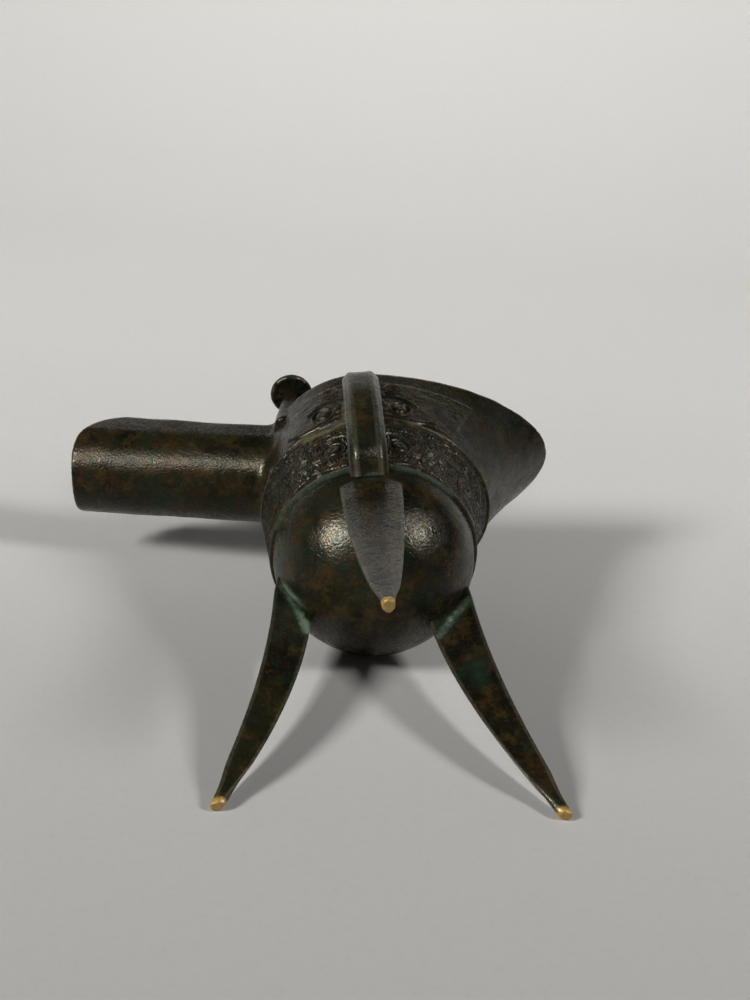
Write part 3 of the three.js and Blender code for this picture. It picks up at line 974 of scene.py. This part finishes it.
@dataclass(frozen=True)
class Mask:
    """One half of a taotie mask and its body, on a distance from the mask's middle and a height above the feet."""

    eyes: tuple[tuple[float, float], ...]
    strokes: tuple[Stroke, ...]
    eye_radius: float = 2.4
    eye_height: float = 0.95
    ring: float = 2.9

    def height(self, s: Array, z: Array, ground: Array) -> Array:
        """Height of the relief: grooved strokes stand over the ground, and domed eyes over both.

        Args:
            s: Distance from the mask's middle.
            z: Height above the feet.
            ground: Height of the ground pattern.

        Returns:
            The relief's height over the wall.
        """
        total = ground
        for stroke in self.strokes:
            d = stroke.distance(s, z)
            ridge = stroke.height * smooth_step(stroke.half_width + 0.28, stroke.half_width - 0.28, d)
            rise = ridge - stroke.groove * np.exp(-((d / 0.3) ** 2))
            inside = smooth_step(stroke.half_width + 0.75, stroke.half_width + 0.35, d)
            cleared = mix(total, np.minimum(total, 0.0), inside)
            total = np.where(rise > 0.1 * stroke.height, np.maximum(total, rise), cleared)
        for s0, z0 in self.eyes:
            d = np.hypot(s - s0, z - z0)
            dome = self.eye_height * np.sqrt(np.maximum(0.0, 1.0 - (d / self.eye_radius) ** 2))
            dome = dome - 0.35 * np.exp(-((d / 0.7) ** 2))  # the pupil's dimple
            rim = 0.5 * np.exp(-(((d - self.ring - 0.9) / 0.5) ** 2))
            trench = -0.5 * np.exp(-(((d - self.ring) / 0.5) ** 2))
            near = smooth_step(self.ring + 1.8, self.ring + 1.0, d)
            total = mix(total, np.maximum(dome, 0.0) + rim + trench, near)
        return total


def thunder_ground(s: Array, z: Array, cell: float = 4.6, pitch: float = 0.92) -> Array:
    """Leiwen, the squared thunder spirals cast over the ground, as height.

    In each square cell the line's phase is the larger of the two distances from its middle, in pitches, plus the turn
    round it. The real lines are about 0.65 mm apart; they are drawn at 0.92 mm, the finest that the mesh can hold.

    Args:
        s: Distance along the wall.
        z: Height.
        cell: Side of one spiral's square.
        pitch: Distance between the spiral's turns.

    Returns:
        Height, from 0 to 0.5 mm.
    """
    i, k = np.floor(s / cell), np.floor((z - 93.0) / cell)
    x, y = s / cell - i - 0.5, (z - 93.0) / cell - k - 0.5
    hand = np.where((i + k) % 2 == 0, 1.0, -1.0)
    phase = np.maximum(np.abs(x), np.abs(y)) * cell / pitch + hand * np.arctan2(y, x) / (2 * np.pi)
    return 0.5 * smooth_step(-0.5, 0.35, np.cos(2 * np.pi * phase))


BAND_MASK = Mask(
    eyes=((10.2, 105.0),),
    strokes=(
        Stroke(coil(21.6, 101.4, 3.9, 8.0, 0.95), 0.8),
        Stroke(coil(23.0, 114.2, 3.2, 10.0, 0.8), 0.7),
        Stroke(coil(37.0, 106.0, 4.2, 7.0, 1.0), 0.8),
        Stroke(
            hook([(3.6, 110.5), (6.5, 112.6), (11.0, 113.2), (15.5, 111.0), (16.4, 107.5), (15.0, 106.2)]), 0.85, 0.62
        ),
        Stroke(hook([(4.0, 117.6), (9.0, 118.0), (15.0, 117.6), (17.4, 114.6), (15.6, 112.9), (14.0, 114.2)]), 0.7),
        Stroke(hook([(3.4, 97.0), (8.0, 95.6), (13.0, 96.4), (15.2, 99.0), (13.6, 100.4)]), 0.8, 0.62),
        Stroke(((0.0, 95.5), (0.0, 118.0)), 1.6, 0.7, 0.0),
        Stroke(hook([(29.5, 117.8), (38.0, 117.4), (45.0, 115.0), (47.0, 110.5), (44.8, 109.6)]), 0.7),
        Stroke(hook([(28.5, 96.0), (36.0, 95.4), (44.0, 96.6), (47.5, 100.5), (45.6, 102.6)]), 0.7),
    ),
)
NECK_MASK = Mask(
    eyes=((12.8, 129.0),),
    strokes=(
        Stroke(coil(10.5, 142.0, 2.6, -2.0, 0.8, 1.3), 0.8, 0.4),
        Stroke(hook([(5.5, 135.4), (9.0, 136.8), (14.0, 136.0), (18.0, 133.0)]), 0.7, 0.35),
        Stroke(hook([(5.0, 124.4), (10.0, 123.2), (16.0, 123.4), (21.5, 123.8), (26.0, 127.0)]), 0.65, 0.4),
        Stroke(hook([(5.6, 129.0), (7.0, 126.8), (8.4, 128.0), (7.6, 131.5), (5.6, 132.5)]), 0.65, 0.4),
    ),
)


@dataclass
class Relief:
    """A cast relief on the cup's wall: a thin closed shell whose face carries the pattern and dips under at its edges.

    The face is a grid over the angle round the axis and the height: the wall's own point, moved along the wall's
    normal by the pattern's height. A plain second grid just under the wall closes it from behind.
    """

    name: str
    start: float
    end: float
    low_z: float
    high_z: float
    mask: Mask
    columns: int
    rows: int
    ground: bool
    lines: tuple[float, ...] = ()
    side_fade: float = 0.0  # over how much of its end the pattern runs out; 0 where a second mask closes the ring
    lift: float = 0.3  # how far the ground stands over the cup's own wall
    back_rows: int = 14
    cup: Cup = Cup()

    def shell(self, angle: Array, z: Array, height: Array) -> Array:
        """Points of the wall at the angles and heights, moved out by the height along the wall's normal.

        Args:
            angle: Angles in radians, of shape (rows, columns).
            z: Heights.
            height: How far out.

        Returns:
            Array of shape (rows, columns, 3).
        """
        step = 1e-4
        wall = self.cup.point(angle, z)
        round_it = self.cup.point(angle + step, z) - self.cup.point(angle - step, z)
        up = self.cup.point(angle, z + step) - self.cup.point(angle, z - step)
        normal = np.cross(round_it, up)
        normal /= np.linalg.norm(normal, axis=-1, keepdims=True)
        uneven = Casting().unevenness(wall.reshape(-1, 3)).reshape(z.shape)
        return wall + normal * (height + uneven)[..., None]

    def height(self, s: Array, z: Array) -> Array:
        """The pattern's height at distances from the mask's middle and heights over the feet, worn unevenly.

        Args:
            s: Distances from the mask's middle.
            z: Heights.

        Returns:
            An array of the same shape.
        """
        bent = s + 0.35 * np.sin(z * 0.9 + s * 0.3), z + 0.3 * np.sin(s * 0.7)
        ground = thunder_ground(*bent) if self.ground else 0.0 * s
        total = self.mask.height(s, z, ground)
        where = np.stack([s, z, 0.0 * s], axis=-1).reshape(-1, 3)
        worn = 0.78 + 0.22 * value_noise(where, 7.0, 11).reshape(s.shape)
        total = total * worn + 0.05 * value_noise(where, 1.1, 12).reshape(s.shape)
        for line in self.lines:
            total = np.maximum(total, 0.85 * np.sqrt(np.maximum(0.0, 1.0 - ((z - line) / 0.75) ** 2)))
            total -= 0.3 * np.exp(-(((z - line - np.sign(107.0 - line) * 1.25) / 0.4) ** 2))
        return total

    def build(self) -> bpy.types.Object:
        """Makes the face and the back, and joins them round their edges.

        Returns:
            The new object.
        """
        a = np.radians(np.linspace(self.start, self.end, self.columns))
        mid = self.cup.point(a, np.full_like(a, (self.low_z + self.high_z) / 2))
        run = np.concatenate([[0.0], np.cumsum(np.linalg.norm(np.diff(mid, axis=0), axis=1))])
        angle, z = np.meshgrid(a, np.linspace(self.low_z, self.high_z, self.rows))
        along = np.broadcast_to(run, angle.shape)
        s = np.minimum(along, run[-1] - along) if self.side_fade == 0.0 else along
        height = self.height(s, z)
        inner = np.minimum(z - self.low_z, self.high_z - z)
        fade = smooth_step(0.0, 1.0 if self.lines else 3.0, inner)
        if self.side_fade:
            fade = fade * smooth_step(0.0, self.side_fade, run[-1] - along)
        face = self.shell(angle, z, mix(-0.7, height + self.lift, fade))
        back_angle, back_z = np.meshgrid(a, np.linspace(self.low_z, self.high_z, self.back_rows))
        back = self.shell(back_angle, back_z, np.full_like(back_z, -1.3))
        points = np.vstack([face.reshape(-1, 3), back.reshape(-1, 3)])
        quads = self.faces(self.end < self.start)
        crest = smooth_step(0.3, 0.75, height).ravel() * fade.ravel()
        low, high = (0.2, -0.02) if self.ground else (-0.04, -0.25)
        groove = smooth_step(low, high, height).ravel() * fade.ravel()
        rest = np.zeros(back_z.size)
        marks = Patina().marks(points, np.append(crest, rest), np.append(groove, rest))
        return make_mesh(self.name, points, quads, marks)

    def faces(self, flip: bool) -> list[list[int]]:
        """Quads of the face and of the back, strips that join them below and above, and one polygon at each end.

        Args:
            flip: Whether the angles run the other way round, so that each face is turned over.

        Returns:
            The faces, anticlockwise from outside.
        """
        c, r, b = self.columns, self.rows, self.back_rows
        i, k = np.meshgrid(np.arange(c - 1), np.arange(r - 1))
        face = np.stack([k * c + i, k * c + i + 1, (k + 1) * c + i + 1, (k + 1) * c + i], -1).reshape(-1, 4)
        i, k = np.meshgrid(np.arange(c - 1), np.arange(b - 1))
        back = r * c + np.stack([k * c + i, (k + 1) * c + i, (k + 1) * c + i + 1, k * c + i + 1], -1).reshape(-1, 4)
        i = np.arange(c - 1)
        low = np.stack([i, r * c + i, r * c + i + 1, i + 1], -1)
        top, back_top = (r - 1) * c, r * c + (b - 1) * c
        high = np.stack([top + i, top + i + 1, back_top + i + 1, back_top + i], -1)
        first = [*(r * c + np.arange(b) * c).tolist(), *(np.arange(r)[::-1] * c).tolist()]
        last = [*(np.arange(r) * c + c - 1).tolist(), *(r * c + np.arange(b)[::-1] * c + c - 1).tolist()]
        every = [*face.tolist(), *back.tolist(), *low.tolist(), *high.tolist(), first[::-1], last[::-1]]
        return [f[::-1] for f in every] if flip else every


@dataclass
class PostCap:
    """The umbrella cap of a post: a low cone with a button on top, and shallow flutes under its thin edge."""

    post: Post
    rings: int = 40
    sides: int = 144
    flutes: int = 12

    def profile(self) -> Array:
        """Distance out and height from the middle of the underside, round the edge, to the top of the button.

        Returns:
            Array of shape (rings, 2).
        """
        r, h, b = self.post.cap_radius, self.post.cap_height, self.post.button_radius
        under = [[0.0, 0.12], [0.3 * r, 0.1], [0.6 * r, -0.01], [0.86 * r, -0.05 * h], [0.97 * r, 0.02 * h]]
        edge = [[r, 0.09 * h], [0.985 * r, 0.17 * h]]
        cone = [[0.9 * r, 0.36 * h], [0.74 * r, 0.56 * h], [0.52 * r, 0.74 * h], [0.32 * r, 0.83 * h]]
        button = [[b + 0.35, 0.86 * h], [b, 0.885 * h], [b * 0.98, 0.94 * h], [b * 0.8, 0.985 * h]]
        outline = np.array([*under, *edge, *cone, *button, [b * 0.45, h], [0.0, h]])
        run = np.concatenate([[0.0], np.cumsum(np.linalg.norm(np.diff(outline, axis=0), axis=1))])
        at = np.linspace(0.0, run[-1], self.rings)
        return np.stack([np.interp(at, run, outline[:, k]) for k in (0, 1)], axis=1)

    def build(self) -> bpy.types.Object:
        """Turns the profile round the post's top; under the edge, flutes rise and fall as a cosine round it.

        Returns:
            The new object.
        """
        profile = self.profile()[1:-1]
        turn = np.linspace(0.0, 2 * np.pi, self.sides, endpoint=False)
        radius, height = profile[:, :1], profile[:, 1:]
        below_edge = np.arange(len(profile))[:, None] < self.rings * 0.42
        under = smooth_step(0.25, 0.8, radius / self.post.cap_radius) * below_edge
        height = height + 0.28 * under * np.abs(np.cos(turn * self.flutes / 2))
        _, top = self.post.ends()
        x = top[0] + radius * np.cos(turn)
        y = top[1] + radius * np.sin(turn)
        body = np.stack([x, y, self.post.cap_z + height + 0 * x], axis=-1).reshape(-1, 3)
        ends = np.array([[top[0], top[1], self.post.cap_z + rise] for rise in (0.12, self.post.cap_height)])
        points = np.vstack([body, ends])
        name = "post_cap_handle_side" if self.post.hand < 0 else "post_cap_far_side"
        raised = smooth_step(0.9, 1.0, np.append(np.repeat(radius / self.post.cap_radius, self.sides), [0.0, 0.0]))
        marks = Patina().marks(points, raised, 0.0 * raised)
        return make_mesh(name, points, tube_faces(len(profile), self.sides), marks)


# ------------------------------------------------------------------------------------------------ finishes


def linear(hex_colour: str) -> tuple[float, float, float, float]:
    """An sRGB hex colour as linear light: the sRGB curve undone for each channel."""
    parts = [int(hex_colour.lstrip("#")[k : k + 2], 16) / 255.0 for k in (0, 2, 4)]
    return (*[c / 12.92 if c <= 0.04045 else ((c + 0.055) / 1.055) ** 2.4 for c in parts], 1.0)


def add_node(
    tree: bpy.types.NodeTree, kind: str, settings: dict | None = None, links: dict | None = None
) -> bpy.types.Node:
    """Adds a shader node.

    Args:
        tree: The material's node tree.
        kind: The node's type name.
        settings: Names of the node's own settings, or of its input sockets, with their values.
        links: Names or numbers of its input sockets, with the output socket that feeds each.

    Returns:
        The new node.
    """
    node = tree.nodes.new(kind)
    for key, value in (settings or {}).items():
        if isinstance(key, str) and hasattr(node, key):
            setattr(node, key, value)
        else:
            node.inputs[key].default_value = value
    for key, source in (links or {}).items():
        tree.links.new(source, node.inputs[key])
    return node


@dataclass(frozen=True)
class Layer:
    """One mineral or wear layer of the patina, laid over those before it where a noise, times its mark, is high."""

    colour: str
    size: float  # its largest patches, in millimetres
    low: float
    high: float
    strength: float
    mark: Mark | None = None
    roughness: float | None = None  # of the layer itself, where it hides the skin's own gloss
    crust: float = 0.0  # how much it thickens the surface, from 0 to 1
    roughen: float = 0.76  # the noise's own roughness: how ragged the patches' edges are


@dataclass(frozen=True)
class PatinatedBronze:
    """Old cast bronze under a brown-black patina, waxed and handled.

    A tin oxide skin has taken the metal's place at the surface: it is nearly black, so most of what the eye gets is
    gloss, broken into sparkles by a fine grain of casting pits. Brown and red-brown copper oxides cloud it, green
    carbonates sit in the corners, grey metal shows on what stands out, and the feet are rubbed down to yellow bronze.
    """

    skin: str = "#14130c"
    metallic: float = 0.08
    edge: str = "#8a857a"  # the metal part's reflection at a glancing angle, which the patina dulls
    gloss: tuple[float, float] = (0.17, 0.32)  # roughness of the waxed skin, least and most
    layers: tuple[Layer, ...] = (
        Layer("#272617", 30.0, 0.40, 0.60, 0.9),  # olive clouds
        Layer("#453718", 6.0, 0.49, 0.60, 0.75, roughen=0.8),  # yellow-brown oxide
        Layer("#3c2415", 9.0, 0.51, 0.61, 0.7, roughen=0.8),  # red-brown cuprite
        Layer("#172b1e", 10.0, 0.51, 0.61, 0.75, roughen=0.8),  # thin green stain
        Layer("#0b0a06", 1.3, 0.50, 0.61, 0.8, roughness=0.45),  # pits and black specks
        Layer("#857d63", 0.8, 0.58, 0.69, 0.35),  # pale grains
        Layer("#7d7868", 2.4, 0.20, 0.70, 0.28, Mark.RAISED, roughness=0.26),  # handled edges and crests
        # the next layer is painted shade: grooves and corners darkened
        Layer("#0b0a07", 3.0, 0.08, 0.40, 0.8, Mark.SUNK, roughness=0.6),  # dark grooves
        Layer("#84805c", 5.0, 0.46, 0.66, 0.3, Mark.SUNK, roughness=0.85),  # earth left in grooves
        Layer("#1c3325", 3.2, 0.12, 0.45, 0.85, Mark.VERDIGRIS, roughness=0.5, crust=0.4),  # thin green carbonate
        # thick pale verdigris, and dried earth
        Layer("#7a8b72", 2.2, 0.32, 0.58, 0.8, Mark.VERDIGRIS, roughness=0.8, crust=1.0, roughen=0.86),
        Layer("#74724f", 3.0, 0.24, 0.60, 0.85, Mark.EARTH, roughness=0.85, crust=0.8, roughen=0.86),
        Layer("#c29c58", 1.8, 0.22, 0.50, 0.95, Mark.BARED, roughness=0.34),  # yellow bronze, rubbed bare
        Layer("#7a6842", 1.1, 0.44, 0.66, 0.6, Mark.BARED, roughness=0.5),  # the dull specks left on it
    )

    def material(self) -> bpy.types.Material:
        """Makes the material, which reads the pieces' marks and patterns sized in real millimetres.

        Each layer's share is its noise times its mark, raised smoothly from 0 at its low value to its strength at its
        high one. The share mixes the layer's colour and roughness over what is below it, and adds to the crust.

        Returns:
            The material.
        """
        made = bpy.data.materials.new("patinated cast bronze")
        made.use_nodes = True
        tree = made.node_tree
        tree.nodes.clear()
        add = partial(add_node, tree)
        place = add("ShaderNodeTexCoord").outputs["Object"]
        marks = {mark: add("ShaderNodeAttribute", {"attribute_name": mark.value}).outputs["Fac"] for mark in Mark}

        # the waxed skin's gloss wanders over some 6 mm, as rubbing left it
        sheen = add("ShaderNodeTexNoise", {"Scale": 1000.0 / 6.0, "Detail": 5.0}, {"Vector": place}).outputs[0]
        spread = {"From Min": 0.3, "From Max": 0.7, "To Min": self.gloss[0], "To Max": self.gloss[1]}
        rough = add("ShaderNodeMapRange", spread, {"Value": sheen}).outputs["Result"]
        colour = add("ShaderNodeMix", {"data_type": "RGBA", 0: 0.0, 6: linear(self.skin)}).outputs[2]
        crust = add("ShaderNodeMath", {"operation": "ADD", 0: 0.0, 1: 0.0}).outputs[0]
        for seed, layer in enumerate(self.layers):
            noise = {"noise_dimensions": "4D", "W": float(seed), "Scale": 1000.0 / layer.size}
            noise |= {"Detail": 7.0, "Roughness": layer.roughen}
            value = add("ShaderNodeTexNoise", noise, {"Vector": place}).outputs[0]
            if layer.mark:
                value = add("ShaderNodeMath", {"operation": "MULTIPLY"}, {0: value, 1: marks[layer.mark]}).outputs[0]
            rise = {"interpolation_type": "SMOOTHSTEP"}
            rise |= {"From Min": layer.low, "From Max": layer.high, "To Max": layer.strength}
            share = add("ShaderNodeMapRange", rise, {"Value": value}).outputs["Result"]
            over = {"data_type": "RGBA", 7: linear(layer.colour)}
            colour = add("ShaderNodeMix", over, {0: share, 6: colour}).outputs[2]
            if layer.roughness is not None:
                rough = add("ShaderNodeMix", {3: layer.roughness}, {0: share, 2: rough}).outputs[0]
            if layer.crust:
                thicker = {"operation": "MULTIPLY_ADD", 1: layer.crust}
                crust = add("ShaderNodeMath", thicker, {0: share, 2: crust}).outputs[0]

        bare = {"operation": "SUBTRACT", "use_clamp": True, 0: self.metallic}
        metal = add("ShaderNodeMath", bare, {1: crust}).outputs[0]
        # casting pits under a millimetre apart, softer dents, and the dents again where the crust is thick
        grain = add("ShaderNodeTexNoise", {"Scale": 1000.0 / 0.75, "Detail": 3.0}, {"Vector": place}).outputs[0]
        dent = add("ShaderNodeTexNoise", {"Scale": 1000.0 / 2.6, "Detail": 4.0}, {"Vector": place}).outputs[0]
        scab = add("ShaderNodeMath", {"operation": "MULTIPLY"}, {0: crust, 1: dent}).outputs[0]
        bump = add("ShaderNodeBump", {"Strength": 1.0, "Distance": 0.00013}, {"Height": grain}).outputs[0]
        for height, strength, depth in ((dent, 0.6, 0.00013), (scab, 1.0, 0.0008)):
            links = {"Height": height, "Normal": bump}
            bump = add("ShaderNodeBump", {"Strength": strength, "Distance": depth}, links).outputs[0]
        settings = {"Specular IOR Level": 0.55, "Specular Tint": linear(self.edge)}
        links = {"Base Color": colour, "Metallic": metal, "Roughness": rough, "Normal": bump}
        shader = add("ShaderNodeBsdfPrincipled", settings, links)
        add("ShaderNodeOutputMaterial", links={"Surface": shader.outputs[0]})
        return made


# ------------------------------------------------------------------------------------------------ stage


@dataclass(frozen=True)
class Lamp:
    """A square soft lamp. Places are in millimetres along the lying surface's axes, from the vessel."""

    name: str
    at: tuple[float, float, float]
    size: float
    power: float  # watts
    glint: bool = False  # seen only in gloss, and lighting no matt surface: not a real lamp, it sets the highlights
    target: tuple[float, float, float] = (0.0, 0.0, 0.0)

    def build(self, axes: tuple[Array, Array, Array]) -> bpy.types.Object:
        """Makes the lamp, which faces its target.

        Args:
            axes: The lying surface's unit vectors.

        Returns:
            The new light.
        """
        vessel = np.array([0.0, 10.0, 100.0])
        place, target = (vessel + np.array(v) @ np.array(axes) for v in (self.at, self.target))
        data = bpy.data.lights.new(self.name, "AREA")
        data.shape, data.size, data.energy = "SQUARE", self.size / 1000.0, self.power
        lamp = bpy.data.objects.new(self.name, data)
        turn = Vector(target - place).to_track_quat("-Z", "Y").to_matrix().to_4x4()
        lamp.matrix_world = Matrix.Translation(Vector(to_row(place))) @ turn
        lamp.visible_diffuse = not self.glint
        bpy.context.scene.collection.objects.link(lamp)
        return lamp


@dataclass(frozen=True)
class Stage:
    """The pale surface that the vessel lies on, its sweep up behind, soft studio light and the camera.

    The vessel lies on the tips of its two far legs and on its belly, so the surface is a plane through those three,
    and the light comes from that plane's upper side.
    """

    normal: tuple[float, float, float] = (-0.0754, 0.9907, -0.1129)
    offset: float = 20.4
    eye: tuple[float, float, float] = (-22.5, -208.9, -248.4)
    looks_along: tuple[float, float, float] = (0.058, 0.484, 0.873)
    top_of_picture: tuple[float, float, float] = (0.017, -0.875, 0.484)
    focal_pixels: float = 1300.0
    picture_height: int = 1000
    lamps: tuple[Lamp, ...] = (
        Lamp("left_light", (-1250.0, -900.0, 1000.0), 400.0, 20.5),
        Lamp("left_glint", (-1200.0, -900.0, 900.0), 300.0, 40.0, glint=True),
        Lamp("right_light", (1390.0, -560.0, 1160.0), 400.0, 13.6),
        Lamp("right_glint", (1300.0, -560.0, 1160.0), 300.0, 25.0, glint=True),
        Lamp("front_glint", (-510.0, -1100.0, 1190.0), 300.0, 18.0, glint=True),
        Lamp("backdrop_light", (0.0, 520.0, 950.0), 900.0, 3.3, target=(0.0, 1500.0, 520.0)),
    )

    def camera(self) -> bpy.types.Object:
        """The photograph's view: from below the feet, towards the mouth side, with a normal lens.

        Returns:
            The camera.
        """
        view = Vector(self.looks_along).normalized()
        right = view.cross(Vector(self.top_of_picture)).normalized()
        up = right.cross(view)
        data = bpy.data.cameras.new("camera")
        data.sensor_width, data.sensor_fit = 36.0, "AUTO"
        data.lens = 36.0 * self.focal_pixels / self.picture_height
        data.clip_start, data.clip_end = 0.01, 20.0
        camera = bpy.data.objects.new("camera", data)
        turn = Matrix((right, up, -view)).transposed().to_4x4()
        camera.matrix_world = Matrix.Translation(Vector(to_row(np.array(self.eye)))) @ turn
        bpy.context.scene.collection.objects.link(camera)
        bpy.context.scene.camera = camera
        return camera

    def axes(self) -> tuple[Array, Array, Array]:
        """Unit vectors of the lying surface: to the right, away from the camera, and up from the surface.

        Returns:
            The three vectors.
        """
        up = -np.array(self.normal) / np.linalg.norm(self.normal)
        away = np.array(self.looks_along) - up * (np.array(self.looks_along) @ up)
        away /= np.linalg.norm(away)
        return np.cross(away, up), away, up

    def surface(self) -> bpy.types.Object:
        """A flat sheet that turns up behind: a profile of a line, a quarter circle and a line, carried sideways.

        Returns:
            The sheet.
        """
        right, away, up = self.axes()
        middle = -self.offset * up
        turn = np.linspace(0.0, np.pi / 2, 24)
        bend, start = 600.0, 700.0
        flat = np.linspace(-900.0, start, 33)[:-1]
        run = np.concatenate([flat, start + bend * np.sin(turn), [start + bend]])
        rise = np.concatenate([0.0 * flat, bend * (1 - np.cos(turn)), [700.0]])
        sides = np.linspace(-2500.0, 2500.0, 3)
        grid = middle + sides[:, None, None] * right + run[None, :, None] * away + rise[None, :, None] * up
        points, rows, columns = grid.reshape(-1, 3), len(sides), len(run)
        i, k = np.meshgrid(np.arange(rows - 1), np.arange(columns - 1), indexing="ij")
        quads = np.stack([i * columns + k, (i + 1) * columns + k, (i + 1) * columns + k + 1, i * columns + k + 1], -1)
        # graded: the sheet is darker towards the camera in the photograph than the lamps alone leave it
        # painted light and shade: the paper's brightness is painted darker near the camera and lighter further off
        shade = np.interp(run, [-100.0, 30.0, 105.0, 230.0, 400.0, 900.0], [0.78, 0.95, 1.1, 1.33, 1.36, 1.22])
        sheet = make_mesh("lying_surface", points, quads.reshape(-1, 4), {"shade": np.tile(shade, len(sides))})
        sheet.data.materials.append(self.paper())
        return sheet

    def paper(self) -> bpy.types.Material:
        """Matt white paper, clear from behind so that other views of the vessel aren't shut off by it.

        Returns:
            The material.
        """
        made = bpy.data.materials.new("matt white paper")
        made.use_nodes = True
        tree = made.node_tree
        tree.nodes.clear()
        add = partial(add_node, tree)
        behind = add("ShaderNodeNewGeometry").outputs["Backfacing"]
        # the painted light falloff that the sheet's points carry; the paper's fibre is multiplied in below
        shade = add("ShaderNodeAttribute", {"attribute_name": "shade"}).outputs["Fac"]
        place = add("ShaderNodeTexCoord").outputs["Object"]
        # paper fibre in flocks of 2.5 mm
        flocks = {"Scale": 1000.0 / 2.5, "Detail": 6.0, "Roughness": 0.8}
        fibre = add("ShaderNodeTexNoise", flocks, {"Vector": place}).outputs[0]
        faint = {"From Min": 0.3, "From Max": 0.5, "To Min": 0.955, "To Max": 1.0}
        soft = add("ShaderNodeMapRange", faint, {"Value": fibre}).outputs["Result"]
        shade = add("ShaderNodeMath", {"operation": "MULTIPLY"}, {0: shade, 1: soft}).outputs[0]
        white = add("ShaderNodeVectorMath", {"operation": "SCALE", 0: linear("#dcdad6")[:3]}, {"Scale": shade})
        matt = add("ShaderNodeBsdfDiffuse", links={"Color": white.outputs[0]})
        clear = add("ShaderNodeBsdfTransparent")
        both = add("ShaderNodeMixShader", links={0: behind, 1: matt.outputs[0], 2: clear.outputs[0]})
        add("ShaderNodeOutputMaterial", links={"Surface": both.outputs[0]})
        return made

    def build(self) -> None:
        """Makes the camera, the surface, the lights and the dim room around them."""
        self.camera()
        self.surface()
        for lamp in self.lamps:
            lamp.build(self.axes())
        world = bpy.data.worlds.new("room")
        world.use_nodes = True
        fill = world.node_tree.nodes["Background"]
        fill.inputs["Color"].default_value, fill.inputs["Strength"].default_value = linear("#e9edf2"), 0.04
        bpy.context.scene.world = world
        bpy.context.scene.view_settings.view_transform = "Standard"


RELIEFS = (
    Relief("band_spout_side", HANDLE_BEARING, 86.6, 91.7, 121.8, BAND_MASK, 560, 150, True, (93.0, 120.5)),
    Relief("band_tail_side", HANDLE_BEARING, 446.6, 91.7, 121.8, BAND_MASK, 600, 150, True, (93.0, 120.5)),
    Relief("neck_mask_spout_side", HANDLE_BEARING, 215.0, 120.9, 148.0, NECK_MASK, 170, 150, False, side_fade=5.0),
    Relief("neck_mask_tail_side", HANDLE_BEARING, 318.0, 120.9, 148.0, NECK_MASK, 170, 150, False, side_fade=5.0),
)


def main() -> None:
    """Builds the scene in order and reports each piece."""
    Stage().build()
    bronze = PatinatedBronze().material()
    cup = Cup()
    pieces = [Casting().build(), Handle().build(), PostCap(Post(-1.0)).build(), PostCap(Post(1.0)).build()]
    pieces += [relief.build() for relief in RELIEFS]
    pieces += [leg.build(f"leg_{name}", cup) for leg, name in zip(LEGS, ("handle_side", "spout_side", "tail_side"))]
    for piece in pieces:
        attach(piece, BODY)
        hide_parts(NODE)
        piece.data.materials.append(bronze)
        log.info("%s: %d faces", piece.name, len(piece.data.polygons))


if __name__ == "__main__":
    main()
